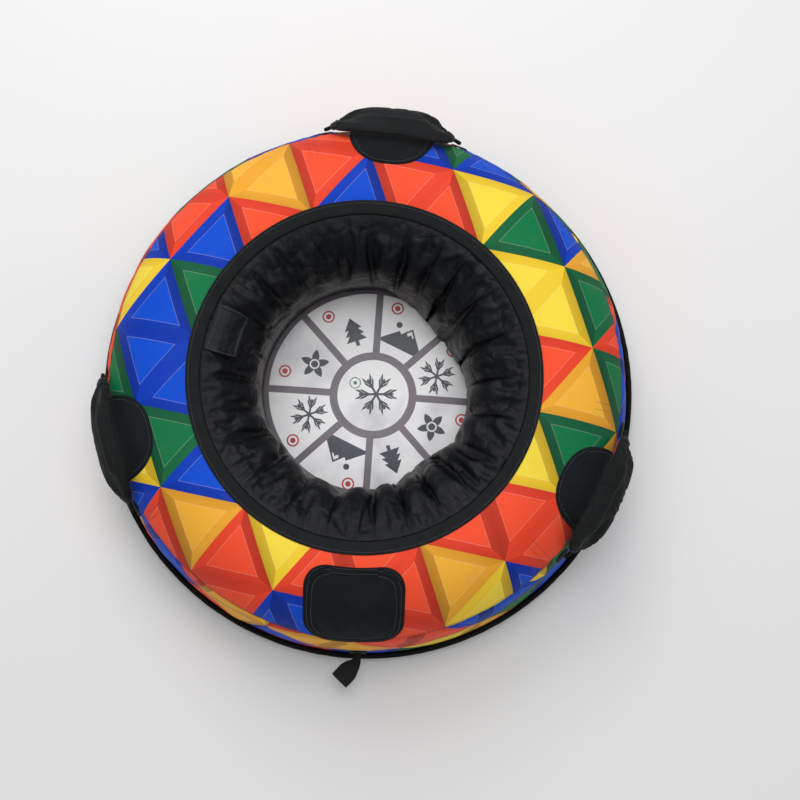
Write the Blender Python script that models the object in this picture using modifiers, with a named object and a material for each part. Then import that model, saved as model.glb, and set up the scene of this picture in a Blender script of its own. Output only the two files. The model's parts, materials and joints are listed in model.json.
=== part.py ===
# A padded ring for dry slides: an air-filled rubber tube in a sewn cover, on a hard sliding base.
# Metres, +Z up. The ring's centre line is the Z axis, the base slides on z = 0 and the tow loop is at -Y.
# A place on the ring is given by its bearing round Z, in degrees from +X, and by its section angle:
# 0 on the outside of the tube, 90 on its top and 180 on the side towards the seat.

import math

import bmesh
import bpy
from mathutils import Matrix, Vector

# Inner tube and base
TUBE_RING_RADIUS = 0.336
TUBE_SECTION_RADIUS = 0.131
TUBE_WALL = 0.002
BASE_THICKNESS = 0.0045
BASE_TURN_UP = 0.078
BASE_RIM_HEIGHT = 0.036
BASE_LIP_HEIGHT = 0.010
BASE_LIP_THICKNESS = 0.0035

# Cloth and clearances
CLOTH = 0.0012
FIT = 0.0004
COVER_EASE = 0.0015
SLEEVE_EASE = 0.0022
SLEEVE_TOP_GAP = 0.0014
PATCH_EASE = 0.0006
BINDING_THICKNESS = 0.0018
BINDING_OUTER_DEPTH = 0.014

# Cover panels and seat
SEAM_ANGLE = 27.0
BAND_FLARE = 0.0247
BAND_HEM_INSIDE_RIM = 0.003
MOUTH_INSIDE_CENTRE_LINE = 0.0507
MOUTH_RING_WIDTH = 0.0231
MOUTH_RING_THICKNESS = 0.0026
FOLD_COUNT = 24
FOLD_DEPTH = 0.024
FOLD_WANDER = 3.0
FOLD_FULLEST_BEARING = -48.0
FOLD_HEM_DEPTH = 0.0025
FOLD_AT_VALVE_DEPTH = 0.0027
FOLD_INTO_WELL = 0.0110
FOLD_UNEVEN = 0.12
FOLD_PRESSED_BEARING = 16.0
FOLD_FREE_BEARING = 28.0
SEAT_FOAM_HEIGHT = 0.0255
SEAT_FLAT_RADIUS = 0.105
SEAT_CROWN = 0.008
SEAT_PANEL_THICKNESS = 0.0015
SEAT_FOAM_INSET = 0.003

# Inflation valve and its flap
VALVE_BEARING = 162.0
VALVE_ANGLE = 135.0
VALVE_STEM_RADIUS = 0.004
VALVE_STEM_LENGTH = 0.011
VALVE_BORE_RADIUS = 0.0019
VALVE_FLANGE_RADIUS = 0.0085
VALVE_FLANGE_THICKNESS = 0.0014
VALVE_FLANGE_STANDOFF = 0.0026
VALVE_SHOULDER_RADIUS = 0.0068
VALVE_SHOULDER_THICKNESS = 0.0009
VALVE_SHOULDER_STANDOFF = 0.0010
VALVE_CORE_RADIUS = 0.0015
VALVE_CORE_TIP = 0.0027
VALVE_CAP_RADIUS = 0.0055
VALVE_CAP_HEIGHT = 0.0085
VALVE_CAP_WALL = 0.0011
SLEEVE_EYE_RADIUS = 0.0095
FLAP_WIDTH = 0.083
FLAP_DEPTH = 0.062
FLAP_LIFT = 0.0125
FLAP_SEWN_LIFT = 0.0036
FLAP_THICKNESS = 0.0014
FLAP_GAP = 0.0024

# Handles
STRAP_SPAN = 0.250
STRAP_HALF_WIDTH = 0.0125
STRAP_HALF_THICKNESS = 0.0013
STRAP_END_RADIUS = 0.004
STRAP_TAPER_LENGTH = 0.016
STRAP_BELOW_SEAM = 9.0
GRIP_SETBACK = 0.02375
GRIP_HALF_WIDTH = 0.030
GRIP_HALF_THICKNESS = 0.010
GRIP_WALL = 0.0012
GRIP_FOAM_EASE = 0.0017
STRAP_EASE = 0.0008
ANCHOR_WIDTH = 0.030
ANCHOR_HEIGHT = 0.026
ANCHOR_THICKNESS = 0.0022
ARCH_POWER = 2.6
GUARD_WIDTH = 0.154
GUARD_DEPTH = 0.106
GUARD_THICKNESS = 0.0022
GUARD_OVER_SEAM = 0.002

# Front pad
PAD_BEARING = -92.5
PAD_WIDTH = 0.175
PAD_DEPTH = 0.154
PAD_CORNER = 0.046
PAD_CROWN = 0.008
PAD_EDGE_THICKNESS = 0.0022
PAD_SHOULDER = 0.35
PAD_FOAM_EDGE = 0.0012
PAD_OVER_SEAM = 0.0023
FOAM_SHARE = 0.80

# Tow loop
TOW_BEARING = -92.0
TOW_LOOP_LENGTH = 0.060
TOW_LOOP_EYE = 0.011
TOW_LOOP_WIDTH = 0.036
TOW_ROOT_WIDTH = 0.013
TOW_WEBBING = 0.0022
TOW_ROOT_RADIUS = 0.0045
TOW_LEAN_ANGLE = 42.0
TOW_BEND_LENGTH = 0.020
TOW_ANCHOR_WIDTH = 0.034
TOW_ANCHOR_HEIGHT = 0.030
TOW_HEIGHT_OVER_RIM = 0.020

# Facets
ROUND_STEPS = 44
TUBE_SECTION_SIDES = 16
SMALL_ROUND_STEPS = 16
GRIP_SIDES = 10

# Sizes that follow from those above
STRAP_END_ANGLE = SEAM_ANGLE - STRAP_BELOW_SEAM
GRIP_SHARE = 1 - 2 * GRIP_SETBACK / STRAP_SPAN
TAPER_SHARE = STRAP_TAPER_LENGTH / (STRAP_SPAN / 2)
TUBE_CENTRE_Z = BASE_THICKNESS + FIT + TUBE_SECTION_RADIUS
COVER_IN = TUBE_SECTION_RADIUS + COVER_EASE
COVER_OUT = COVER_IN + CLOTH
PATCH_IN = COVER_OUT + PATCH_EASE
SLEEVE_MID = TUBE_SECTION_RADIUS + SLEEVE_EASE + CLOTH / 2
BAND_FOOT_RADIUS = TUBE_RING_RADIUS + TUBE_SECTION_RADIUS + BAND_FLARE
MOUTH_RADIUS = TUBE_RING_RADIUS - MOUTH_INSIDE_CENTRE_LINE
LIP_INNER_RADIUS = BAND_FOOT_RADIUS + BINDING_THICKNESS + 2 * FIT
BASE_RADIUS = LIP_INNER_RADIUS + BASE_LIP_THICKNESS
BASE_FLAT_RADIUS = LIP_INNER_RADIUS - BASE_TURN_UP
RIM_RADIUS = BASE_RADIUS + FIT + BINDING_THICKNESS
LIP_TOP = BASE_RIM_HEIGHT + BASE_LIP_HEIGHT
BAND_HEM = BASE_RIM_HEIGHT - BAND_HEM_INSIDE_RIM
WELL_RADIUS = TUBE_RING_RADIUS - SLEEVE_MID
RIDER_RADIUS = WELL_RADIUS - FOLD_INTO_WELL
SEAT_RADIUS = WELL_RADIUS + 2 * CLOTH
FOAM_TOP = BASE_THICKNESS + FIT + SEAT_FOAM_HEIGHT
PANEL_TOP = FOAM_TOP + FIT + SEAT_PANEL_THICKNESS

# Each handle's bearing, the direction its arch bulges in, the height of the arch and the way its
# broad face looks, in degrees above level. They hang as they did when last let go.
HANDLES = {
    "top": {"bearing": 84.0, "bulge": 80.0, "height": 0.052, "face": 56.0},
    "left": {"bearing": 193.8, "bulge": 84.0, "height": 0.052, "face": 42.0},
    "right": {"bearing": -26.3, "bulge": 74.0, "height": 0.052, "face": 48.0},
}


def clear_scene():
    for obj in list(bpy.data.objects):
        bpy.data.objects.remove(obj, do_unlink=True)


def new_collection(name):
    group = bpy.data.collections.new(name)
    bpy.context.scene.collection.children.link(group)
    return group


def new_material(name, colour, roughness, metallic=0.0):
    finish = bpy.data.materials.new(name)
    finish.use_nodes = True
    shader = finish.node_tree.nodes["Principled BSDF"]
    shader.inputs["Base Color"].default_value = (*colour, 1.0)
    shader.inputs["Roughness"].default_value = roughness
    shader.inputs["Metallic"].default_value = metallic
    return finish


def new_object(name, mesh, finish, group):
    obj = bpy.data.objects.new(name, mesh)
    mesh.materials.append(finish)
    mesh.shade_smooth()
    mesh.set_sharp_from_angle(angle=math.radians(35))
    group.objects.link(obj)
    return obj


def from_bmesh(name, form, finish, group):
    bmesh.ops.recalc_face_normals(form, faces=form.faces)
    mesh = bpy.data.meshes.new(name)
    form.to_mesh(mesh)
    form.free()
    return new_object(name, mesh, finish, group)


def section_point(radius, angle):
    # (distance from the Z axis, height) of a point this far from the tube's section centre
    turn = math.radians(angle)
    return TUBE_RING_RADIUS + radius * math.cos(turn), TUBE_CENTRE_Z + radius * math.sin(turn)


def section_arc(radius, start, end, spans):
    return [section_point(radius, start + (end - start) * i / spans) for i in range(spans + 1)]


def angle_at(radius, distance):
    # Section angle, on the upper half, where a shell of this radius is this far from the Z axis
    return math.degrees(math.acos((distance - TUBE_RING_RADIUS) / radius))


def band_leave_angle():
    # Section angle where the side band leaves the tube and runs straight down to its foot
    out, down = BAND_FOOT_RADIUS - TUBE_RING_RADIUS, TUBE_CENTRE_Z - BAND_HEM
    return math.degrees(math.acos(COVER_OUT / math.hypot(out, down)) - math.atan2(down, out))


def band_radius(height):
    # Distance from the Z axis of the straight lower part of the side band
    return BAND_FOOT_RADIUS - (height - BAND_HEM) * math.tan(math.radians(band_leave_angle()))


def on_ring(bearing, distance, height):
    turn = math.radians(bearing)
    return Vector((distance * math.cos(turn), distance * math.sin(turn), height))


def turned(name, profile, finish, group, steps=ROUND_STEPS):
    # A solid of revolution. The profile runs down its outer side; it is closed unless it ends on the axis.
    points = [(radius, 0.0, height) for radius, height in profile]
    edges = [(i, i + 1) for i in range(len(points) - 1)]
    if profile[0][0] > 0:
        edges.append((len(points) - 1, 0))
    mesh = bpy.data.meshes.new(name)
    mesh.from_pydata(points, edges, [])
    obj = new_object(name, mesh, finish, group)
    screw = obj.modifiers.new("Turn", "SCREW")
    screw.steps = steps
    screw.render_steps = steps
    screw.use_merge_vertices = True
    screw.merge_threshold = 0.00005
    screw.use_smooth_shade = True
    return obj


def cut(obj, cutter):
    boolean = obj.modifiers.new("Cut", "BOOLEAN")
    boolean.operation = "DIFFERENCE"
    boolean.object = cutter


def new_cutter(name, radius, depth, place, direction, group, finish):
    form = bmesh.new()
    bmesh.ops.create_cone(
        form, cap_ends=True, segments=SMALL_ROUND_STEPS, radius1=radius, radius2=radius, depth=depth
    )
    obj = from_bmesh(name, form, finish, group)
    obj.location = place
    obj.rotation_euler = direction.to_track_quat("Z", "Y").to_euler()
    obj.hide_render = True
    obj.display_type = "WIRE"
    return obj


def place_origin(obj, place):
    # Moves the object's origin to this place, as on a joint's axis, and leaves its shape where it is
    obj.data.transform(Matrix.Translation(-place))
    obj.location = place


def loft(name, rings, finish, group, ring_closed):
    # Joins rings of equal counts, either end to end with caps or back round to the first ring
    form = bmesh.new()
    rows = [[form.verts.new(point) for point in ring] for ring in rings]
    count = len(rows[0])
    spans = len(rows) if ring_closed else len(rows) - 1
    for i in range(spans):
        here, there = rows[i], rows[(i + 1) % len(rows)]
        for k in range(count):
            form.faces.new((here[k], here[(k + 1) % count], there[(k + 1) % count], there[k]))
    if not ring_closed:
        form.faces.new(rows[0])
        form.faces.new(rows[-1])
    return from_bmesh(name, form, finish, group)


def draped(name, across, down, place, thickness, finish, group):
    # A grid of across x down cells laid out by place(u, v), u and v from -1 to 1, and given a thickness
    form = bmesh.new()
    bmesh.ops.create_grid(form, x_segments=across, y_segments=down, size=1.0)
    for vertex in form.verts:
        vertex.co = place(vertex.co.x, vertex.co.y)
    mesh = bpy.data.meshes.new(name)
    form.to_mesh(mesh)
    form.free()
    obj = new_object(name, mesh, finish, group)
    solid = obj.modifiers.new("Thickness", "SOLIDIFY")
    solid.thickness = thickness
    solid.offset = 1.0
    return obj


def on_cover(bearing, angle, sideways, radius):
    # A point over the cover: this section angle at a sideways distance from the bearing, along the ring
    distance, height = section_point(radius, angle)
    return on_ring(bearing + math.degrees(sideways / distance), distance, height)


def build_tube(finishes, parts, cutters):
    # The wall is the gap between two many-sided sections, opened by the valve's hole
    step = 360 / TUBE_SECTION_SIDES
    outer = [section_point(TUBE_SECTION_RADIUS, -step * i) for i in range(TUBE_SECTION_SIDES)]
    inner = [
        section_point(TUBE_SECTION_RADIUS - TUBE_WALL, step * i) for i in range(TUBE_SECTION_SIDES)
    ]
    form = bmesh.new()
    for profile in (outer, inner):
        turned_ring(form, profile)
    mesh = bpy.data.meshes.new("inner_tube")
    form.to_mesh(mesh)
    form.free()
    tube = new_object("inner_tube", mesh, finishes["rubber"], parts)
    surface, outward = valve_seat()
    hole = new_cutter(
        "valve_hole", VALVE_STEM_RADIUS + FIT, 0.02, surface, outward, cutters, finishes["cutter"]
    )
    cut(tube, hole)


def turned_ring(form, profile):
    # A closed section turned about Z into the bmesh, its faces looking away from the profile's right
    rows = [
        [form.verts.new(on_ring(360 * i / ROUND_STEPS, *point)) for point in profile]
        for i in range(ROUND_STEPS)
    ]
    count = len(profile)
    for i, here in enumerate(rows):
        there = rows[(i + 1) % ROUND_STEPS]
        for k in range(count):
            form.faces.new((here[k], here[(k + 1) % count], there[(k + 1) % count], there[k]))


def valve_seat():
    # Where the valve's axis leaves the tube, and its direction
    distance, height = section_point(TUBE_SECTION_RADIUS, VALVE_ANGLE)
    far_distance, far_height = section_point(TUBE_SECTION_RADIUS + 1, VALVE_ANGLE)
    surface = on_ring(VALVE_BEARING, distance, height)
    return surface, on_ring(VALVE_BEARING, far_distance, far_height) - surface


def build_valve(finishes, parts):
    surface, outward = valve_seat()
    # Flat flanges bear on a wall that curves away from them, so they stand a little off it
    flange_top = -TUBE_WALL - VALVE_FLANGE_STANDOFF
    flange_bottom = flange_top - VALVE_FLANGE_THICKNESS
    shoulder_bottom = VALVE_SHOULDER_STANDOFF
    shoulder_top = shoulder_bottom + VALVE_SHOULDER_THICKNESS
    top = VALVE_STEM_LENGTH
    stem = turned(
        "valve_stem",
        [
            (VALVE_BORE_RADIUS, top),
            (VALVE_STEM_RADIUS, top),
            (VALVE_STEM_RADIUS, shoulder_top),
            (VALVE_SHOULDER_RADIUS, shoulder_top),
            (VALVE_SHOULDER_RADIUS, shoulder_bottom),
            (VALVE_STEM_RADIUS, shoulder_bottom),
            (VALVE_STEM_RADIUS, flange_top),
            (VALVE_FLANGE_RADIUS, flange_top),
            (VALVE_FLANGE_RADIUS, flange_bottom),
            (VALVE_BORE_RADIUS, flange_bottom),
        ],
        finishes["rubber"],
        parts,
        SMALL_ROUND_STEPS,
    )
    core = turned(
        "valve_core",
        [
            (0, top - FIT),
            (VALVE_CORE_RADIUS * 0.6, top - FIT),
            (VALVE_CORE_RADIUS, top - FIT - VALVE_CORE_TIP),
            (VALVE_CORE_RADIUS, flange_bottom + FIT),
            (0, flange_bottom + FIT),
        ],
        finishes["brass"],
        parts,
        SMALL_ROUND_STEPS,
    )
    inside_top = top + FIT
    outside_top = inside_top + VALVE_CAP_WALL
    skirt = outside_top - VALVE_CAP_HEIGHT
    bore = VALVE_STEM_RADIUS + FIT
    cap = turned(
        "valve_cap",
        [
            (0, outside_top),
            (VALVE_CAP_RADIUS * 0.8, outside_top),
            (VALVE_CAP_RADIUS, outside_top - VALVE_CAP_WALL),
            (VALVE_CAP_RADIUS, skirt),
            (bore, skirt),
            (bore, inside_top),
            (0, inside_top),
        ],
        finishes["plastic"],
        parts,
        SMALL_ROUND_STEPS,
    )
    for piece in (stem, core, cap):
        piece.location = surface
        piece.rotation_euler = outward.to_track_quat("Z", "Y").to_euler()


def build_base(finishes, parts):
    # A shallow dish with a flat underside, its rim turned up into a lip
    quarter = [math.radians(22.5 * i) for i in range(5)]
    outer = [
        (
            BASE_FLAT_RADIUS + (BASE_RADIUS - BASE_FLAT_RADIUS) * math.sin(turn),
            BASE_RIM_HEIGHT * (1 - math.cos(turn)),
        )
        for turn in quarter
    ]
    inner = [
        (
            BASE_FLAT_RADIUS + (LIP_INNER_RADIUS - BASE_FLAT_RADIUS) * math.sin(turn),
            BASE_THICKNESS + (BASE_RIM_HEIGHT - BASE_THICKNESS) * (1 - math.cos(turn)),
        )
        for turn in quarter
    ]
    lip = [(LIP_INNER_RADIUS, LIP_TOP), (BASE_RADIUS, LIP_TOP)]
    profile = [(0, BASE_THICKNESS), *inner, *lip, *outer[::-1], (0, 0)]
    turned("slide_base", profile, finishes["base"], parts)


def build_binding(finishes, parts):
    # Tape folded over the lip: one leg between the lip and the band, the other outside
    fold = LIP_TOP + FIT
    inside = BAND_FOOT_RADIUS + FIT
    profile = [
        (inside, fold + BINDING_THICKNESS),
        (RIM_RADIUS - BINDING_THICKNESS / 2, fold + BINDING_THICKNESS),
        (RIM_RADIUS, fold),
        (RIM_RADIUS, fold - BINDING_OUTER_DEPTH),
        (BASE_RADIUS + FIT, fold - BINDING_OUTER_DEPTH + BINDING_THICKNESS / 3),
        (BASE_RADIUS + FIT, fold),
        (LIP_INNER_RADIUS - FIT, fold),
        (LIP_INNER_RADIUS - FIT, BASE_RIM_HEIGHT + FIT),
        (inside, BASE_RIM_HEIGHT + FIT),
    ]
    turned("rim_binding", profile, finishes["webbing"], parts)


def build_cover(finishes, parts):
    start = angle_at(COVER_OUT, MOUTH_RADIUS + CLOTH)
    spans = 7
    outer = section_arc(COVER_OUT, start, SEAM_ANGLE, spans)
    inner = section_arc(COVER_IN, SEAM_ANGLE, start, spans)
    turned("top_cover", outer + inner, finishes["print"], parts)

    below_seam = SEAM_ANGLE - math.degrees(FIT / COVER_OUT)
    leave = band_leave_angle()
    side = section_arc(COVER_OUT, below_seam, leave, 3)
    side += [(BAND_FOOT_RADIUS, BAND_HEM), (BAND_FOOT_RADIUS - CLOTH, BAND_HEM)]
    side += section_arc(COVER_IN, leave, below_seam, 3)
    turned("side_band", side, finishes["print"], parts)

    ring_in = COVER_OUT + FIT
    ring_out = ring_in + MOUTH_RING_THICKNESS
    near = angle_at(ring_in, MOUTH_RADIUS)
    far = angle_at(ring_in, MOUTH_RADIUS + MOUTH_RING_WIDTH)
    rings = section_arc(ring_out, near, far, 2) + section_arc(ring_in, far, near, 2)
    turned("mouth_ring", rings, finishes["webbing"], parts)


def fold_bearing(step, steps):
    # The gathers fall unevenly round the well, so their sides stand closer in some places
    even = math.radians(360 * step / steps)
    return math.degrees(even) + FOLD_WANDER * math.sin(3 * even)


def fold_at(bearing, distance, angle, share):
    # How far a gather's ridge stands off the tube: fullest towards the front right, pressed flat round the
    # valve, and never further in than the room that the rider needs
    turn = math.radians(bearing)
    slack = math.cos(math.radians(bearing - FOLD_FULLEST_BEARING))
    depth = FOLD_DEPTH * (1 + FOLD_UNEVEN * (math.sin(5 * turn + 1.0) + slack - 2)) * share
    from_valve = abs((bearing - VALVE_BEARING + 180) % 360 - 180)
    if from_valve < FOLD_FREE_BEARING:
        free = max(0.0, (from_valve - FOLD_PRESSED_BEARING) / (FOLD_FREE_BEARING - FOLD_PRESSED_BEARING))
        depth = min(depth, FOLD_AT_VALVE_DEPTH + (FOLD_DEPTH - FOLD_AT_VALVE_DEPTH) * free)
    room = (distance - RIDER_RADIUS) / -math.cos(math.radians(angle))
    return min(depth, room)


def build_sleeve(finishes, parts, cutters):
    # Gathered cloth from the mouth ring over the tube's inner side and down to the edge of the seat.
    # Each gather is a valley, a ridge and the ridge's lower side.
    start = angle_at(SLEEVE_MID, MOUTH_RADIUS - SLEEVE_TOP_GAP)
    drop = PANEL_TOP - SEAT_CROWN + CLOTH
    angles = [start + (180 - start) * i / 4 for i in range(5)]
    rows = [(*section_point(SLEEVE_MID, angle), angle) for angle in angles]
    rows += [(WELL_RADIUS, TUBE_CENTRE_Z + (drop - TUBE_CENTRE_Z) * part, 180) for part in (0.45, 0.84, 1.0)]
    shares = (0.0, 0.55, 0.95, 1.0, 1.0, 1.0, 0.8, FOLD_HEM_DEPTH / FOLD_DEPTH)
    sides = (0.0, 1.0, 0.8)
    steps = len(sides) * FOLD_COUNT
    form = bmesh.new()
    grid = []
    for i in range(steps):
        bearing = fold_bearing(i, steps)
        line = []
        for (distance, height, angle), share in zip(rows, shares):
            stand = fold_at(bearing, distance, angle, share) * sides[i % len(sides)]
            turn = math.radians(angle)
            point = on_ring(
                bearing, distance + stand * math.cos(turn), height + stand * math.sin(turn)
            )
            line.append(form.verts.new(point))
        grid.append(line)
    for i, here in enumerate(grid):
        there = grid[(i + 1) % steps]
        for k in range(len(rows) - 1):
            form.faces.new((here[k], here[k + 1], there[k + 1], there[k]))
    sleeve = from_bmesh("seat_sleeve", form, finishes["nylon"], parts)
    solid = sleeve.modifiers.new("Thickness", "SOLIDIFY")
    solid.thickness = CLOTH
    solid.offset = 0.0
    surface, outward = valve_seat()
    eye = new_cutter(
        "sleeve_eye", SLEEVE_EYE_RADIUS, 0.03, surface, outward, cutters, finishes["cutter"]
    )
    cut(sleeve, eye)


def build_seat(finishes, parts):
    # A round foam pad with a slight crown, and the printed cloth disc that lies on it
    shoulder = (SEAT_RADIUS + SEAT_FLAT_RADIUS) / 2
    foam_radius = SEAT_RADIUS - SEAT_FOAM_INSET
    foam = [
        (0, FOAM_TOP),
        (SEAT_FLAT_RADIUS, FOAM_TOP),
        (shoulder, FOAM_TOP - SEAT_CROWN * 0.3),
        (foam_radius, FOAM_TOP - SEAT_CROWN),
        (foam_radius, BASE_THICKNESS + FIT),
        (0, BASE_THICKNESS + FIT),
    ]
    turned("seat_foam", foam, finishes["foam"], parts)
    under = FOAM_TOP + FIT
    panel = [
        (0, PANEL_TOP),
        (SEAT_FLAT_RADIUS, PANEL_TOP),
        (shoulder, PANEL_TOP - SEAT_CROWN * 0.3),
        (SEAT_RADIUS, PANEL_TOP - SEAT_CROWN),
        (SEAT_RADIUS, under - SEAT_CROWN),
        (shoulder, under - SEAT_CROWN * 0.3),
        (SEAT_FLAT_RADIUS, under),
        (0, under),
    ]
    turned("seat_panel", panel, finishes["seat print"], parts)


def build_flap(finishes, parts):
    # Sewn along a straight fold beside the mouth ring, it hangs over the gathers and hides the valve
    fold = math.sqrt((MOUTH_RADIUS - FLAP_GAP) ** 2 - (FLAP_WIDTH / 2) ** 2)
    start = angle_at(COVER_OUT + FLAP_SEWN_LIFT, fold)
    end = start + math.degrees(FLAP_DEPTH / (COVER_OUT + FLAP_LIFT))
    middle_distance, _ = section_point(COVER_OUT, (start + end) / 2)
    sideways = on_ring(VALVE_BEARING + 90, 1, 0)

    def place(u, v):
        share = (v + 1) / 2
        climb = math.sin(math.radians(min(share * 2.2, 1) * 90))
        lift = FLAP_SEWN_LIFT + (FLAP_LIFT - FLAP_SEWN_LIFT) * climb
        distance, height = section_point(COVER_OUT + lift, start + (end - start) * share)
        aside = -u * FLAP_WIDTH / 2
        straight = on_ring(VALVE_BEARING, distance, height) + sideways * aside
        curved = on_ring(VALVE_BEARING + math.degrees(aside / middle_distance), distance, height)
        return straight.lerp(curved, share)

    flap = draped("valve_flap", 6, 6, place, -FLAP_THICKNESS, finishes["nylon"], parts)
    place_origin(flap, place(0, -1))


def round_corner(u, v, half_width, half_depth, corner):
    # A point of a square grid moved onto a rectangle with round corners
    x, y = u * half_width, v * half_depth
    beyond_x = max(abs(x) - (half_width - corner), 0) / corner
    beyond_y = max(abs(y) - (half_depth - corner), 0) / corner
    if beyond_x and beyond_y:
        x -= math.copysign(corner * beyond_x * (1 - math.sqrt(1 - beyond_y**2 / 2)), x)
        y -= math.copysign(corner * beyond_y * (1 - math.sqrt(1 - beyond_x**2 / 2)), y)
    return x, y


def build_front_pad(finishes, parts):
    # A rounded square of padded cloth sewn to the cover at its edge, with foam under its crown
    middle = SEAM_ANGLE + math.degrees((PAD_DEPTH / 2 + PAD_OVER_SEAM) / PATCH_IN)

    def crown_at(u, v):
        edge = max(abs(u), abs(v))
        return PAD_CROWN * min(1.0, (1 - edge) / PAD_SHOULDER) ** 0.6

    def cloth_place(u, v):
        x, y = round_corner(u, v, PAD_WIDTH / 2, PAD_DEPTH / 2, PAD_CORNER)
        angle = middle + math.degrees(y / PATCH_IN)
        return on_cover(PAD_BEARING, angle, -x, PATCH_IN + crown_at(u, v))

    draped("front_pad", 10, 10, cloth_place, -PAD_EDGE_THICKNESS, finishes["pad cloth"], parts)

    form = bmesh.new()
    bmesh.ops.create_grid(form, x_segments=8, y_segments=8, size=1.0)
    rise = {}
    for vertex in form.verts:
        u, v = vertex.co.x, vertex.co.y
        x, y = round_corner(u, v, PAD_WIDTH / 2, PAD_DEPTH / 2, PAD_CORNER)
        angle = middle + math.degrees(FOAM_SHARE * y / PATCH_IN)
        vertex.co = on_cover(PAD_BEARING, angle, -FOAM_SHARE * x, PATCH_IN)
        rise[vertex.index] = (angle, -FOAM_SHARE * x, crown_at(FOAM_SHARE * u, FOAM_SHARE * v))
    lower = list(form.verts)
    upper = {}
    for vertex in lower:
        angle, sideways, crown = rise[vertex.index]
        height = max(crown - 2 * FIT - PATCH_EASE, PAD_FOAM_EDGE)
        upper[vertex] = form.verts.new(
            on_cover(PAD_BEARING, angle, sideways, PATCH_IN + height)
        )
    lower_faces = list(form.faces)
    edges = [edge for edge in form.edges if len(edge.link_faces) == 1]
    for face in lower_faces:
        form.faces.new([upper[vertex] for vertex in face.verts])
    for edge in edges:
        a, b = edge.verts
        form.faces.new((a, b, upper[b], upper[a]))
    from_bmesh("front_pad_foam", form, finishes["foam"], parts)


def build_guard(side, finishes, parts):
    # A half-round patch that keeps knuckles off the cover behind the grip
    bearing = HANDLES[side]["bearing"]

    def place(u, v):
        climb = math.radians(86 * (v + 1) / 2)
        sideways = u * GUARD_WIDTH / 2 * math.cos(climb) ** 0.85
        up = GUARD_OVER_SEAM + GUARD_DEPTH * math.sin(climb) ** 0.85
        angle = SEAM_ANGLE + math.degrees(up / PATCH_IN)
        return on_cover(bearing, angle, -sideways, PATCH_IN)

    draped(f"knuckle_guard_{side}", 8, 7, place, -GUARD_THICKNESS, finishes["pad cloth"], parts)


def handle_frame(side):
    # The strap's chord: its middle, the direction along it, and the outward direction
    shape = HANDLES[side]
    tab_top = PATCH_IN + ANCHOR_THICKNESS + FIT + STRAP_END_RADIUS
    end_distance, end_height = section_point(tab_top, STRAP_END_ANGLE)
    half = STRAP_SPAN / 2
    middle_distance = math.sqrt(end_distance**2 - half**2)
    along = on_ring(shape["bearing"] + 90, 1, 0)
    outward = on_ring(shape["bearing"], 1, 0)
    return outward * middle_distance + Vector((0, 0, end_height)), along, outward


def handle_place(side, u):
    # Centre of the strap's section and its broad and thin directions, u from -1 to 1 along the chord
    shape = HANDLES[side]
    middle, along, outward = handle_frame(side)
    up = Vector((0, 0, 1))
    bulge = math.radians(shape["bulge"])
    rise = shape["height"] * (1 - abs(u) ** ARCH_POWER)
    slope = -shape["height"] * ARCH_POWER * abs(u) ** (ARCH_POWER - 1) / (STRAP_SPAN / 2)
    slope = math.copysign(slope, -u)
    bulge_way = outward * math.cos(bulge) + up * math.sin(bulge)
    centre = middle + along * (u * STRAP_SPAN / 2) + bulge_way * rise
    tangent = (along + bulge_way * slope).normalized()
    face = STRAP_END_ANGLE + (shape["face"] - STRAP_END_ANGLE) * (1 - abs(u) ** 3)
    face = math.radians(face)
    thin = outward * math.cos(face) + up * math.sin(face)
    thin = (thin - tangent * thin.dot(tangent)).normalized()
    return centre, tangent.cross(thin), thin


def oval(side, u, half_width, half_thickness, sides, squareness=2.0):
    centre, broad, thin = handle_place(side, u)
    points = []
    for i in range(sides):
        turn = 2 * math.pi * (i + 0.5) / sides
        x = math.copysign(abs(math.cos(turn)) ** (2 / squareness), math.cos(turn))
        y = math.copysign(abs(math.sin(turn)) ** (2 / squareness), math.sin(turn))
        points.append(centre + broad * (x * half_width) + thin * (y * half_thickness))
    return points


def grip_swell(u):
    # The grip's sleeve keeps its width along most of its length and closes in on the strap at its ends
    share = min(abs(u) / GRIP_SHARE, 1)
    return (1 - share**5) ** 0.5


def strap_half_sizes(u):
    # Flat inside the grip, gathered into a round bundle where it is sewn down
    share = min(max((abs(u) - GRIP_SHARE) / TAPER_SHARE, 0), 1)
    width = STRAP_HALF_WIDTH + (STRAP_END_RADIUS - STRAP_HALF_WIDTH) * share
    thickness = STRAP_HALF_THICKNESS + (STRAP_END_RADIUS - STRAP_HALF_THICKNESS) * share
    return width, thickness


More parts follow.
